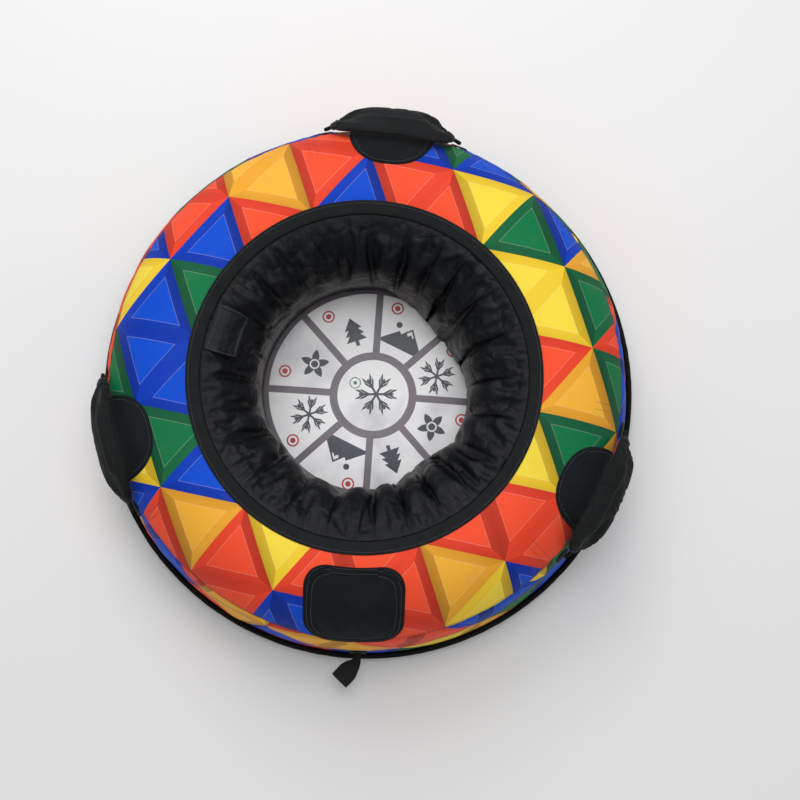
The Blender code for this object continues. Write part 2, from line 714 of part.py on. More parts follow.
def build_handle(side, finishes, parts):
    bearing = HANDLES[side]["bearing"]
    end = GRIP_SHARE
    stations = [end * math.sin(math.radians(15 * i)) for i in range(-6, 7)]
    tails = [end + (1 - end) * share for share in (0.36, 0.70, 1.0)]
    places = [-u for u in reversed(tails)] + stations + tails
    strap = [oval(side, u, *strap_half_sizes(u), GRIP_SIDES, 3.0) for u in places]
    webbing = loft(f"handle_strap_{side}", strap, finishes["webbing"], parts, False)

    slot_width = STRAP_HALF_WIDTH + STRAP_EASE
    slot_thickness = STRAP_HALF_THICKNESS + STRAP_EASE

    def cloth(u, inset):
        swell = grip_swell(u)
        width = slot_width + GRIP_WALL + (GRIP_HALF_WIDTH - slot_width - GRIP_WALL) * swell
        thickness = slot_thickness + GRIP_WALL
        thickness += (GRIP_HALF_THICKNESS - slot_thickness - GRIP_WALL) * swell
        return oval(side, u, width - inset, thickness - inset, GRIP_SIDES, 2.3)

    outer = [cloth(u, 0) for u in stations]
    inner = [cloth(u, GRIP_WALL) for u in reversed(stations)]
    cover = loft(f"grip_cover_{side}", outer + inner, finishes["pad cloth"], parts, True)

    core = [cloth(u, GRIP_WALL + GRIP_FOAM_EASE) for u in stations[1:-1]]
    slot = [
        oval(side, u, slot_width, slot_thickness, GRIP_SIDES, 3.0)
        for u in reversed(stations[1:-1])
    ]
    foam = loft(f"grip_foam_{side}", core + slot, finishes["foam"], parts, True)

    middle, along, _ = handle_frame(side)
    for piece in (webbing, cover, foam):
        place_origin(piece, middle)
    end_bearing = math.degrees(math.asin(STRAP_SPAN / 2 / (middle + along * STRAP_SPAN / 2).xy.length))
    for letter, turn in (("a", -end_bearing), ("b", end_bearing)):

        def place(u, v, turn=turn):
            angle = STRAP_END_ANGLE + math.degrees(v * ANCHOR_HEIGHT / 2 / PATCH_IN)
            return on_cover(bearing + turn, angle, -u * ANCHOR_WIDTH / 2, PATCH_IN)

        name = f"strap_anchor_{side}_{letter}"
        draped(name, 3, 3, place, -ANCHOR_THICKNESS, finishes["webbing"], parts)


def tow_seat():
    # The middle of the tow loop's sewn root, its sideways direction and the outward direction
    height = LIP_TOP + TOW_HEIGHT_OVER_RIM
    distance = band_radius(height) + PATCH_EASE + TOW_WEBBING + FIT + TOW_ROOT_RADIUS
    root = on_ring(TOW_BEARING, distance, height)
    return root, on_ring(TOW_BEARING + 90, 1, 0), on_ring(TOW_BEARING, 1, 0)


def tow_path(reach):
    # Outward and sideways travel, and direction, at this reach along the loop's curved middle line
    lean = math.radians(TOW_LEAN_ANGLE)
    radius = TOW_BEND_LENGTH / lean
    turn = lean * min(max(reach / TOW_BEND_LENGTH, 0), 1)
    straight = min(reach, 0) + max(reach - TOW_BEND_LENGTH, 0)
    outward = radius * math.sin(turn) + straight * math.cos(turn)
    return outward, radius * (1 - math.cos(turn)) + straight * math.sin(turn), turn


def build_tow_loop(finishes, parts):
    # One flat webbing folded back on itself, gathered at its root and leaning to one side
    root, sideways, outward = tow_seat()
    up = Vector((0, 0, 1))
    half = TOW_WEBBING / 2
    line = []
    samples = 18
    for i in range(samples):
        turn = 2 * math.pi * i / samples
        reach = TOW_LOOP_LENGTH * (0.5 - 0.5 * math.cos(turn))
        eye = TOW_LOOP_EYE * math.sin(reach / TOW_LOOP_LENGTH * math.pi * 0.62) ** 0.7
        least = TOW_ROOT_RADIUS - half
        height = math.sin(turn) * max(eye, least) if 0 < i < samples else 0.0
        line.append((reach - TOW_ROOT_RADIUS + half, height))
    rings = []
    for i, (reach, height) in enumerate(line):
        before, after = line[i - 1], line[(i + 1) % samples]
        along = Vector((after[0] - before[0], after[1] - before[1])).normalized()
        across = Vector((along.y, -along.x))
        share = max(reach, 0) / TOW_LOOP_LENGTH
        width = TOW_ROOT_WIDTH + (TOW_LOOP_WIDTH - TOW_ROOT_WIDTH) * min(share * 1.6, 1)
        out, aside, turn = tow_path(reach)
        centre = root + outward * out - sideways * aside + up * height
        forward = outward * math.cos(turn) - sideways * math.sin(turn)
        offset = forward * (across.x * half) + up * (across.y * half)
        edge = (sideways * math.cos(turn) + outward * math.sin(turn)) * (width / 2)
        rings.append(
            [centre + offset - edge, centre + offset + edge, centre - offset + edge, centre - offset - edge]
        )
    place_origin(loft("tow_loop", rings, finishes["webbing"], parts, True), root)

    def place(u, v):
        height = root.z + v * TOW_ANCHOR_HEIGHT / 2
        distance = band_radius(height) + PATCH_EASE
        turn = math.degrees(u * TOW_ANCHOR_WIDTH / 2 / distance)
        return on_ring(TOW_BEARING - turn, distance, height)

    draped("tow_anchor", 4, 2, place, -TOW_WEBBING, finishes["webbing"], parts)


def main():
    clear_scene()
    parts = new_collection("dry_slide_tube")
    cutters = new_collection("cutters")
    finishes = {
        "rubber": new_material("tube rubber", (0.02, 0.02, 0.02), 0.55),
        "brass": new_material("valve brass", (0.65, 0.47, 0.20), 0.35, 1.0),
        "plastic": new_material("cap plastic", (0.02, 0.02, 0.02), 0.45),
        "base": new_material("base plastic", (0.012, 0.012, 0.011), 0.5),
        "print": new_material("printed cover cloth", (0.70, 0.12, 0.04), 0.7),
        "seat print": new_material("seat disc cloth", (0.72, 0.70, 0.70), 0.6),
        "nylon": new_material("black sleeve cloth", (0.012, 0.013, 0.015), 0.55),
        "pad cloth": new_material("black pad cloth", (0.018, 0.020, 0.022), 0.75),
        "webbing": new_material("black webbing", (0.022, 0.022, 0.022), 0.8),
        "foam": new_material("grey foam", (0.20, 0.20, 0.20), 0.9),
        "cutter": new_material("cutter", (1.0, 0.0, 0.0), 0.5),
    }
    build_base(finishes, parts)
    build_binding(finishes, parts)
    build_tube(finishes, parts, cutters)
    build_valve(finishes, parts)
    build_cover(finishes, parts)
    build_sleeve(finishes, parts, cutters)
    build_seat(finishes, parts)
    build_flap(finishes, parts)
    build_front_pad(finishes, parts)
    for side in HANDLES:
        build_guard(side, finishes, parts)
        build_handle(side, finishes, parts)
    build_tow_loop(finishes, parts)


main()
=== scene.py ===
import json
import math

import bmesh
import bpy
from mathutils import Matrix, Vector, noise
from mathutils.bvhtree import BVHTree

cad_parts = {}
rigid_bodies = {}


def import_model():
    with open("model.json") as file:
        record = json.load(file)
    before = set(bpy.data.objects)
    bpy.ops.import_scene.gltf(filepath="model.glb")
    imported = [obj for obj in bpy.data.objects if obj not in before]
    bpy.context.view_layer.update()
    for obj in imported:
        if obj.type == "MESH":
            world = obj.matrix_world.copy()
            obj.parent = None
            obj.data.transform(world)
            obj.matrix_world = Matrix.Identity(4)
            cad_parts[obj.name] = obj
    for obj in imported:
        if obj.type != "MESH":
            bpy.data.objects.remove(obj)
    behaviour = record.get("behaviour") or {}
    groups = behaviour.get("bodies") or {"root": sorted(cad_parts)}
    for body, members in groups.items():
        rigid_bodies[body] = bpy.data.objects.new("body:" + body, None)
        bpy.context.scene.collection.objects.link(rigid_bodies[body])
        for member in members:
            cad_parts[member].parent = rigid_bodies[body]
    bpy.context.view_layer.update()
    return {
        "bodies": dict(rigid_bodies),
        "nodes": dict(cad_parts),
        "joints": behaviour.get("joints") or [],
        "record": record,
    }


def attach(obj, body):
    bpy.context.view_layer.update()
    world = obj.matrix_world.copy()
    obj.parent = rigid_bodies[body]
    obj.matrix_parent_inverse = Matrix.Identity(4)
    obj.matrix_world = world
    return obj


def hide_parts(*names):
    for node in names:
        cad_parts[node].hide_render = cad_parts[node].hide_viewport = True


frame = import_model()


# The ring's own measures, in metres and degrees, as the CAD has them
ring = {
    "radius": 0.336, "centreZ": 0.1359, "tube": 0.131, "coverOut": 0.1337, "patchIn": 0.1343, "sleeve": 0.1338,
    "seam": 27.0, "footRadius": 0.4917, "hem": 0.033, "mouth": 0.2853, "well": 0.2022,
}
handles = {
    "top": {"bearing": 84.0, "bulge": 80.0, "height": 0.052, "face": 56.0},
    "left": {"bearing": 193.8, "bulge": 84.0, "height": 0.052, "face": 42.0},
    "right": {"bearing": -26.3, "bulge": 74.0, "height": 0.052, "face": 48.0},
}
valve = {"bearing": 162.0, "angle": 135.0}


def heading(angle):
    turn = math.radians(angle)
    return Vector((math.cos(turn), math.sin(turn)))


def sectionPoint(radius, angle):
    turn = math.radians(angle)
    return ring["radius"] + radius * math.cos(turn), ring["centreZ"] + radius * math.sin(turn)


def angleAt(radius, distance):
    return math.degrees(math.acos((distance - ring["radius"]) / radius))


def onRing(bearing, distance, height):
    turn = math.radians(bearing)
    return Vector((distance * math.cos(turn), distance * math.sin(turn), height))


def onCover(bearing, angle, sideways, radius):
    distance, height = sectionPoint(radius, angle)
    return onRing(bearing + math.degrees(sideways / distance), distance, height)


def leaveAngle():
    # where the side band leaves the tube on its straight way to the hem
    out, down = ring["footRadius"] - ring["radius"], ring["centreZ"] - ring["hem"]
    return math.degrees(math.acos(ring["coverOut"] / math.hypot(out, down)) - math.atan2(down, out))


def bandRadius(height):
    return ring["footRadius"] - (height - ring["hem"]) * math.tan(math.radians(leaveAngle()))


def near(bearing, other):
    return abs((bearing - other + 180) % 360 - 180)


def bearingOf(point):
    return math.degrees(math.atan2(point.y, point.x))


def smooth(low, high, value):
    share = min(max((value - low) / (high - low), 0.0), 1.0)
    return share * share * (3 - 2 * share)


def bell(value, at, width):
    return math.exp(-(((value - at) / width) ** 2))


def bend(value, power):
    # raises a share to a power and keeps its sign
    return math.copysign(abs(value) ** power, value)


def crowd(value, power):
    # rows crowd towards both edges, where the stitches are
    return math.copysign(1 - (1 - abs(value)) ** power, value)


def rough(*place):
    return noise.noise(Vector(place))


def ripple(bearing, count, seed, height=0.0):
    # irregular folds round the ring that close on themselves
    turn = math.radians(bearing)
    return rough(math.cos(turn) * count / 6.28, math.sin(turn) * count / 6.28, seed + height)


# Shader maths: a wrapped socket takes Python's operators
def maths(operation, swapped=False):
    def add(self, *others):
        values = (*others, self) if swapped else (self, *others)
        return self.finish.node("ShaderNodeMath", {"operation": operation}, dict(enumerate(values)))

    return add


class Link:
    def __init__(self, finish, socket):
        self.finish, self.socket = finish, socket

    __add__ = __radd__ = maths("ADD")
    __mul__ = __rmul__ = maths("MULTIPLY")
    __sub__, __rsub__ = maths("SUBTRACT"), maths("SUBTRACT", True)
    __truediv__, __rtruediv__ = maths("DIVIDE"), maths("DIVIDE", True)
    __lt__, __gt__ = maths("LESS_THAN"), maths("GREATER_THAN")
    __abs__, __pow__ = maths("ABSOLUTE"), maths("POWER")
    floor, fract = maths("FLOOR"), maths("FRACT")
    sin, cos, towards = maths("SINE"), maths("COSINE"), maths("ARCTAN2")
    least, most = maths("MINIMUM"), maths("MAXIMUM")

    def __neg__(self):
        return self * -1.0

    def clamped(self):
        return self.most(0.0).least(1.0)


class Finish:
    # one material: its shader's plain values are set here, and the finishes further down add its nodes
    def __init__(self, name, colour, roughness, **plain):
        self.material = bpy.data.materials.new(name)
        self.material.use_nodes = True
        self.tree = self.material.node_tree
        self.shader = self.tree.nodes["Principled BSDF"]
        self.shader.inputs["Base Color"].default_value = colour
        self.shader.inputs["Roughness"].default_value = roughness
        for key, value in plain.items():
            self.shader.inputs[key].default_value = value

    def node(self, kind, settings=None, sockets=None, output=0):
        node = self.tree.nodes.new(kind)
        for key, value in (settings or {}).items():
            if key == "stops":
                while len(node.color_ramp.elements) < len(value):
                    node.color_ramp.elements.new(0.5)
                for element, (place, colour) in zip(node.color_ramp.elements, value):
                    element.position, element.color = place, colour
            elif key == "ramp":
                node.color_ramp.interpolation = value
            else:
                setattr(node, key, value)
        for key, value in (sockets or {}).items():
            if isinstance(value, Link):
                self.tree.links.new(value.socket, node.inputs[key])
            else:
                node.inputs[key].default_value = value
        return Link(self, node.outputs[output])

    def place(self):
        return self.node("ShaderNodeTexCoord", output=3)

    def cloth(self):
        return self.parts(self.node("ShaderNodeUVMap", {"uv_map": "cloth"}))

    def parts(self, vector):
        split = self.node("ShaderNodeSeparateXYZ", None, {0: vector})
        return [Link(self, split.socket.node.outputs[i]) for i in range(3)]

    def join(self, x, y, z=0.0):
        return self.node("ShaderNodeCombineXYZ", None, {0: x, 1: y, 2: z})

    def speckle(self, vector, scale, detail=2.0):
        return self.node("ShaderNodeTexNoise", None, {"Vector": vector, "Scale": scale, "Detail": detail})

    def cloud(self, scale, detail=2.0):
        return self.speckle(self.place(), scale, detail)

    def blend(self, amount, first, second):
        return self.node("ShaderNodeMix", {"data_type": "RGBA"}, {0: amount, 6: first, 7: second}, output=2)

    def into(self, socket, value):
        self.tree.links.new(value.socket, self.shader.inputs[socket])

    def bump(self, height, distance, strength=1.0):
        self.into("Normal", self.node(
            "ShaderNodeBump", None, {"Strength": strength, "Distance": distance, "Height": height}))


def tone(red, green, blue):
    # a screen colour from 0 to 255, as the shader takes it
    def linear(value):
        value /= 255
        return value / 12.92 if value <= 0.04045 else ((value + 0.055) / 1.055) ** 2.4

    return (linear(red), linear(green), linear(blue), 1.0)


def tubeMiddle(point):
    # the nearest point on the ring's own centre line
    flat = Vector((point.x, point.y, 0))
    middle = flat.normalized() * ring["radius"]
    return Vector((middle.x, middle.y, ring["centreZ"]))


# Cloth made by a grid: u runs across and v down, each from -1 to 1
def drape(name, cells, place, size, closed=False, centre=tubeMiddle, stations=None):
    form = bmesh.new()
    bmesh.ops.create_grid(form, x_segments=cells[0], y_segments=cells[1], size=1)
    layer = form.loops.layers.uv.new("cloth")
    for face in form.faces:
        for loop in face.loops:
            spot = loop.vert.co
            loop[layer].uv = (spot.x * size[0] / 2, spot.y * size[1] / 2)
    start = {}
    for vertex in form.verts:
        start[vertex] = (vertex.co.x, vertex.co.y)
        vertex.co = place(*start[vertex])
    if closed:
        bmesh.ops.remove_doubles(form, verts=form.verts, dist=0.00001)
    if stations is not None:
        form.verts.index_update()
        stations.update({vertex.index: start[vertex] for vertex in form.verts})
    bmesh.ops.recalc_face_normals(form, faces=form.faces)
    piece = fromForm(name, form)
    if centre:
        facingOut(piece, centre)
    return piece


def fromForm(name, form):
    mesh = bpy.data.meshes.new(name)
    form.to_mesh(mesh)
    form.free()
    mesh.shade_smooth()
    piece = bpy.data.objects.new(name, mesh)
    bpy.context.scene.collection.objects.link(piece)
    return piece


def reshape(piece, change):
    form = bmesh.new()
    form.from_mesh(piece.data)
    change(form)
    form.to_mesh(piece.data)
    form.free()
    piece.data.shade_smooth()


def facingOut(piece, centre):
    # turns the faces of an open sheet away from the point that centre gives
    mesh = piece.data
    face = mesh.polygons[len(mesh.polygons) // 2]
    if face.normal.dot(face.center - centre(face.center)) < 0:
        mesh.flip_normals()


def thicken(piece, thickness):
    solid = piece.modifiers.new("Thickness", "SOLIDIFY")
    solid.thickness, solid.offset, solid.use_even_offset = thickness, -1.0, False


def soften(piece):
    soft = piece.modifiers.new("Soften", "SUBSURF")
    soft.levels = soft.render_levels = 1


def finishAs(piece, finish, body, slotName, *nodes):
    piece.data.materials.clear()
    piece.data.materials.append(finish.material)
    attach(piece, body)
    if nodes:
        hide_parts(*nodes)
    return piece


# Stage: camera, floor and lights
stage = {
    "target": Vector((0.061, -0.029, 0.14)),
    "elevation": 83.5,
    "distance": 2.18,
    "lens": 54.0,
    "floorSize": 14.0,
    "floorColour": (0.80, 0.80, 0.80, 1.0),
    "skyStrength": 0.50,
    "lights": [
        ("key", (-0.5, 2.2, 2.6), 2.0, 44.0),
        ("fill", (0.25, 0.55, 3.2), 1.7, 34.0),
    ],
}


def buildStage():
    print("stage")
    camera = bpy.data.cameras.new("camera")
    camera.lens, camera.sensor_width = stage["lens"], 36.0
    viewer = bpy.data.objects.new("camera", camera)
    bpy.context.scene.collection.objects.link(viewer)
    lean = math.radians(stage["elevation"])
    back = Vector((0, -math.cos(lean), math.sin(lean)))
    viewer.location = stage["target"] + back * stage["distance"]
    viewer.rotation_euler = back.to_track_quat("Z", "Y").to_euler()
    bpy.context.scene.camera = viewer

    form = bmesh.new()
    bmesh.ops.create_grid(form, x_segments=1, y_segments=1, size=stage["floorSize"] / 2)
    floor = fromForm("floor", form)
    pale = Finish("pale floor", stage["floorColour"], 0.9)
    floor.data.materials.append(pale.material)

    for name, place, size, power in stage["lights"]:
        lamp = bpy.data.lights.new(name, "AREA")
        lamp.shape, lamp.size, lamp.energy = "DISK", size, power
        light = bpy.data.objects.new(name, lamp)
        bpy.context.scene.collection.objects.link(light)
        light.location = place
        aim = Vector(place) - Vector((0, 0, 0.1))
        light.rotation_euler = aim.to_track_quat("Z", "Y").to_euler()

    sky = bpy.data.worlds.new("plain sky")
    sky.use_nodes = True
    sky.node_tree.nodes["Background"].inputs["Color"].default_value = (1.0, 1.0, 1.0, 1.0)
    sky.node_tree.nodes["Background"].inputs["Strength"].default_value = stage["skyStrength"]
    bpy.context.scene.world = sky
    bpy.context.scene.view_settings.view_transform = "Standard"


# Materials
cloths = {
    "printSide": 0.150,
    "printTurn": 0.21,
    "weave": 0.0009,
    "orange": tone(232, 74, 42),
    "black": (0.0, 0.0, 0.0, 1.0),
    "dust": tone(120, 112, 104),
    "outline": (1.0, 0.93, 0.80, 1.0),
    "shares": (0.0, 0.36, 0.56, 0.73, 0.88),
    "prints": (tone(222, 62, 38), tone(0, 52, 170), tone(12, 92, 56), tone(226, 158, 44), tone(234, 196, 46)),
    "brights": (tone(246, 82, 48), tone(0, 76, 204), tone(4, 116, 66), tone(242, 178, 58), tone(242, 216, 68)),
    "pad": tone(18, 21, 24),
    "webbing": tone(24, 25, 26),
    "towing": tone(30, 30, 31),
    "matt": {"IOR": 1.2, "Specular IOR Level": 0.4},
}


def paler(colour, times=1.9, plus=0.004):
    return tuple(min(value * times + plus, 1.0) for value in colour[:3]) + (1.0,)


def weaveOf(u, v, pitch):
    # over and under threads of a plain weave, from 0 to 1
    turn = math.pi / pitch
    return abs((u * turn).sin() * (v * turn).cos())


def triangles(finish, x, y):
    # a grid of equal triangles: each one's number, and its three shares, 0 at each edge
    side = cloths["printSide"]
    c, s = math.cos(cloths["printTurn"]), math.sin(cloths["printTurn"])
    across, up = x * c - y * s, x * s + y * c
    a = across / side - up / (side * math.sqrt(3))
    b = up * (2 / (side * math.sqrt(3)))
    fa, fb = a.fract(), b.fract()
    upper = (fa + fb) > 1.0
    first = upper + (1 - upper * 2) * fa
    second = upper + (1 - upper * 2) * fb
    third = 1 - first - second
    number = finish.join(a.floor(), b.floor(), upper * 0.5 + 0.25)
    return number, first, second, third


def printedCloth(name, flatPrint):
    finish = Finish(name, cloths["orange"], 0.62, **{"Specular IOR Level": 0.16})
    u, v, _ = finish.cloth()
    x, y, _ = finish.parts(finish.place()) if flatPrint else (u, v, 0)
    number, first, second, third = triangles(finish, x, y)
    chance = finish.node("ShaderNodeTexWhiteNoise", {"noise_dimensions": "3D"}, {"Vector": number})
    plain, bright = (
        finish.node("ShaderNodeValToRGB", {"ramp": "CONSTANT", "stops": list(zip(cloths["shares"], colours))},
                    {0: chance})
        for colours in (cloths["prints"], cloths["brights"])
    )
    # each triangle has a raised middle with a pale outline, and three facets round it
    inner = first.least(second).least(third)
    facet = (first < second.least(third)) * 0.16 - (third < first.least(second)) * 0.30
    colour = finish.blend((inner > 0.13) * 0.85, plain, bright)
    colour = finish.blend((abs(inner - 0.13) < 0.004) * 0.14, colour, cloths["outline"])
    colour = finish.blend((facet * (inner < 0.13)).clamped(), colour, bright)
    shade = (0.13 - inner).most(0.0) * 1.2 - facet * (inner < 0.13)
    shade = shade * 0.8 + finish.cloud(3.0) * 0.3 - 0.12
    colour = finish.blend(shade.clamped(), colour, cloths["black"])
    dust = finish.cloud(22.0, 6.0)
    finish.into("Base Color", finish.blend(((dust - 0.58) * 0.5).clamped(), colour, cloths["dust"]))
    finish.into("Roughness", dust * 0.25 + 0.48)
    crumple = finish.cloud(45.0, 4.0)
    finish.bump(weaveOf(u, v, cloths["weave"]) * 0.25 + crumple * 1.2, 0.0005, 0.7)
    return finish


def wovenCloth(name, colour, pitch, roughness, sheen):
    plain = {"Sheen Weight": sheen, "Sheen Roughness": 0.35, **cloths["matt"]}
    finish = Finish(name, colour, roughness, **plain)
    u, v, _ = finish.cloth()
    weave = weaveOf(u, v, pitch)
    cloud = finish.cloud(14.0, 5.0)
    worn = finish.cloud(90.0, 3.0)
    amount = ((cloud - 0.42) * 0.9 + (worn - 0.5) * 0.35 + weave * 0.22).clamped()
    finish.into("Base Color", finish.blend(amount, colour, paler(colour)))
    finish.into("Roughness", cloud * 0.22 + (roughness - 0.11))
    finish.bump(weave + worn * 0.6, 0.0004, 0.8)
    return finish


def webbing(name, colour=cloths["webbing"], pitch=0.0018):
    # ribs across the tape with a herringbone of finer threads
    finish = Finish(name, colour, 0.75, **{"Sheen Weight": 0.02, "Sheen Roughness": 0.45}, **cloths["matt"])
    u, v, _ = finish.cloth()
    rib = abs(((u + abs((v / (pitch * 3)).fract() - 0.5) * (pitch * 2)) * (math.pi / pitch)).sin())
    thread = abs((v * (math.pi / (pitch * 0.45))).sin())
    cloud = finish.cloud(30.0, 4.0)
    amount = ((cloud - 0.4) * 0.7 + rib * 0.25).clamped()
    finish.into("Base Color", finish.blend(amount, colour, paler(colour)))
    finish.bump(rib + thread * 0.35 + cloud * 0.3, 0.0006, 0.8)
    return finish


def nylonCloth(name, colour):
    finish = Finish(name, colour, 0.34, **{"IOR": 1.3, "Specular IOR Level": 0.46})
    u, v, _ = finish.cloth()
    weave = weaveOf(u, v, 0.0008)
    cloud = finish.cloud(16.0, 5.0)
    crumple = finish.cloud(60.0, 5.0)
    lint = ((finish.cloud(420.0) - 0.70) * 6.0).clamped()
    tint = finish.blend(((cloud - 0.40) * 0.8 + weave * 0.10).clamped(), colour, paler(colour, 2.2, 0.0))
    finish.into("Base Color", finish.blend(lint * 0.35, tint, tone(110, 110, 108)))
    finish.into("Roughness", cloud * 0.20 + 0.19)
    crease = abs(finish.cloud(13.0, 3.0) - 0.5).least(0.09) * 11
    finish.bump(weave * 0.12 + crumple * 0.5 + crease * 1.6, 0.0016, 0.75)
    return finish


def rubberFinish(name, colour):
    finish = Finish(name, colour, 0.6)
    cloud = finish.cloud(12.0, 5.0)
    bloom = ((finish.cloud(5.0, 6.0) - 0.5) * 1.6).clamped()
    finish.into("Base Color", finish.blend(bloom * 0.35, colour, tone(78, 78, 76)))
    finish.into("Roughness", cloud * 0.25 + 0.48)
    finish.bump(finish.cloud(500.0, 3.0), 0.0003, 0.5)
    return finish


def foamFinish():
    finish = Finish("grey foam", tone(92, 92, 94), 0.9)
    cell = finish.node("ShaderNodeTexVoronoi", None, {"Vector": finish.place(), "Scale": 900.0})
    cloud = finish.cloud(20.0, 3.0)
    amount = (cell * 0.8 + cloud * 0.2).clamped()
    finish.into("Base Color", finish.blend(amount, tone(92, 92, 94), tone(60, 60, 62)))
    finish.bump(cell, 0.0005, 0.7)
    return finish


def threadFinish(name, colour):
    finish = Finish(name, colour, 0.5, **{"Sheen Weight": 0.2})
    twist = finish.cloud(2400.0, 1.0)
    finish.into("Base Color", finish.blend(twist * 0.6, colour, paler(colour, 2.0, 0.0)))
    finish.bump(twist, 0.0001, 0.5)
    return finish


# The cover: a top panel from the mouth to the seam, and a side band from the seam to the hem
cover = {
    "across": 540,
    "topRows": 84,
    "sideRows": 48,
    "thick": 0.0012,
    "off": 0.0004,
    "underMouth": 0.0012,
    "topCut": 0.455,
    "sideCut": 0.482,
    "sideMiddle": 0.478,
    "puckerTop": 0.0011,
    "puckerSeam": 0.0013,
    "slack": 0.0012,
    "seamDip": 0.0016,
    "pull": 0.0011,
    "pullAside": 15.3,
    "sidePull": 0.0010,
    "sideFold": 0.0030,
    "sideCrumple": 0.0012,
    "crease": {"bearing": 134.0, "span": 15.0, "line": 0.46, "bow": 0.16, "width": 0.022, "depth": 0.0018},
}


def anchorPull(bearing, angle):
    # short tension folds that run in to each sewn strap end and patch corner
    pull = 0.0
    for shape in handles.values():
        for side in (-1, 1):
            away = near(bearing, shape["bearing"] + side * cover["pullAside"])
            if away < 14:
                pull += bell(away, 0.0, 5.0) * bell(angle, 24, 16) * math.sin(away * 1.9 + angle * 0.21)
    return pull


def topRelief(bearing, angle, share):
    # share runs from 0 at the mouth to 1 at the seam
    swell = cover["puckerTop"] * math.exp(-share / 0.09) * ripple(bearing, 120, 3.0, share * 3)
    swell += cover["puckerSeam"] * math.exp(-(1 - share) / 0.08) * ripple(bearing, 150, 9.0, share * 4)
    swell += cover["slack"] * noise.noise(onRing(bearing, 0.34, share * 0.2) * 9.0)
    swell += cover["pull"] * anchorPull(bearing, angle)
    crease = cover["crease"]
    away = (bearing - crease["bearing"]) / crease["span"]
    if abs(away) < 1:
        line = crease["line"] + crease["bow"] * away * away
        swell -= crease["depth"] * (1 - away * away) * bell(share, line, crease["width"])
    return swell - cover["seamDip"] * bell(1 - share, 0.0, 0.016)


def sideRelief(bearing, share):
    # share runs from 0 at the seam to 1 at the hem
    swell = 0.0003 - cover["seamDip"] * bell(share, 0.0, 0.03)
    swell += cover["puckerSeam"] * math.exp(-share / 0.10) * ripple(bearing, 150, 9.0, share * 2)
    held = smooth(0.0, 0.25, share) * (1 - smooth(0.86, 0.97, share))
    swell += cover["sideFold"] * held * ripple(bearing + 5 * share, 46, 20.0, share * 1.3)
    swell += cover["sideCrumple"] * held * ripple(bearing - 9 * share, 130, 31.0, share * 3)
    if share < 0.4:
        swell += cover["sidePull"] * anchorPull(bearing, 27 - share * 60) * (1 - smooth(0.2, 0.4, share))
    tucked = smooth(0.80, 0.90, share)
    swell = swell * (1 - tucked) - 0.0002 * tucked
    return max(swell, -0.0012 if share < 0.5 else -0.0006)


def buildCover():
    print("cover")
    start = angleAt(ring["coverOut"], ring["mouth"] + cover["underMouth"])
    topLength = math.radians(start - ring["seam"]) * ring["coverOut"]

    def topPlace(u, v):
        share = (v + 1) / 2
        angle = start + (ring["seam"] - start) * share
        radius = ring["coverOut"] + cover["off"] + topRelief(u * 180, angle, share)
        return onRing(u * 180, *sectionPoint(radius, angle))

    leave = leaveAngle()
    arc = math.radians(ring["seam"] - leave) * ring["coverOut"]
    foot = Vector(sectionPoint(ring["coverOut"], leave))
    hem = Vector((ring["footRadius"], ring["hem"]))
    sideLength = arc + (hem - foot).length

    def sidePlace(u, v):
        share = (v + 1) / 2
        travel = share * sideLength
        if travel < arc:
            angle = ring["seam"] - (ring["seam"] - leave) * travel / arc
            spot = Vector(sectionPoint(ring["coverOut"], angle))
        else:
            angle = leave
            spot = foot.lerp(hem, (travel - arc) / (sideLength - arc))
        spot = spot + heading(angle) * sideRelief(u * 180, share)
        return onRing(u * 180, spot.x, spot.y)

    size = (2 * math.pi * ring["radius"], topLength)
    top = drape("coverTop", (cover["across"], cover["topRows"]), topPlace, size, True)
    size = (2 * math.pi * cover["sideMiddle"], sideLength)
    side = drape("coverSide", (cover["across"], cover["sideRows"]), sidePlace, size, True)
    thicken(top, cover["thick"])
    thicken(side, cover["thick"])
    finishAs(top, printedCloth("printed top cloth", True), "ring", "cover_cloth", "top_cover")
    finishAs(side, printedCloth("printed side cloth", False), "ring", "cover_cloth", "side_band")
    return top


# Sewn patches: a grid laid on the cover, x along the ring and y up towards the mouth, in metres
tab = {"corner": 0.003, "thick": 0.0016}


def squareCorners(u, v, halfWidth, halfDepth, corner):
    x, y = u * halfWidth, v * halfDepth
    beyondX = max(abs(x) - (halfWidth - corner), 0) / corner
    beyondY = max(abs(y) - (halfDepth - corner), 0) / corner
    if beyondX and beyondY:
        x -= math.copysign(corner * beyondX * (1 - math.sqrt(1 - beyondY**2 / 2)), x)
        y -= math.copysign(corner * beyondY * (1 - math.sqrt(1 - beyondX**2 / 2)), y)
    return x, y


def squareEdge(x, y, halfWidth, halfDepth, corner):
    # distance inwards from the edge of a rectangle with round corners
    dx, dy = abs(x) - (halfWidth - corner), abs(y) - (halfDepth - corner)
    outside = math.hypot(max(dx, 0), max(dy, 0))
    return corner - outside - min(max(dx, dy), 0)


def turnedEdge(edge, lift, over, stitchAt, sink, width):
    # rises to its full lift over a round edge, with a groove along its stitches
    return lift * math.sqrt(min(max(edge, 0) / over, 1.0)) - sink * bell(edge, stitchAt, width)


def seatOn(bearing, baseAngle):
    def spot(x, y, height):
        angle = baseAngle + math.degrees(y / ring["patchIn"])
        return onCover(bearing, angle, -x, ring["patchIn"] + height)

    return spot


def clothPiece(name, cells, place, size, thickness, finish, body, slotName, *nodes, **more):
    piece = drape(name, cells, place, size, **more)
    thicken(piece, thickness)
    return finishAs(piece, finish, body, slotName, *nodes)


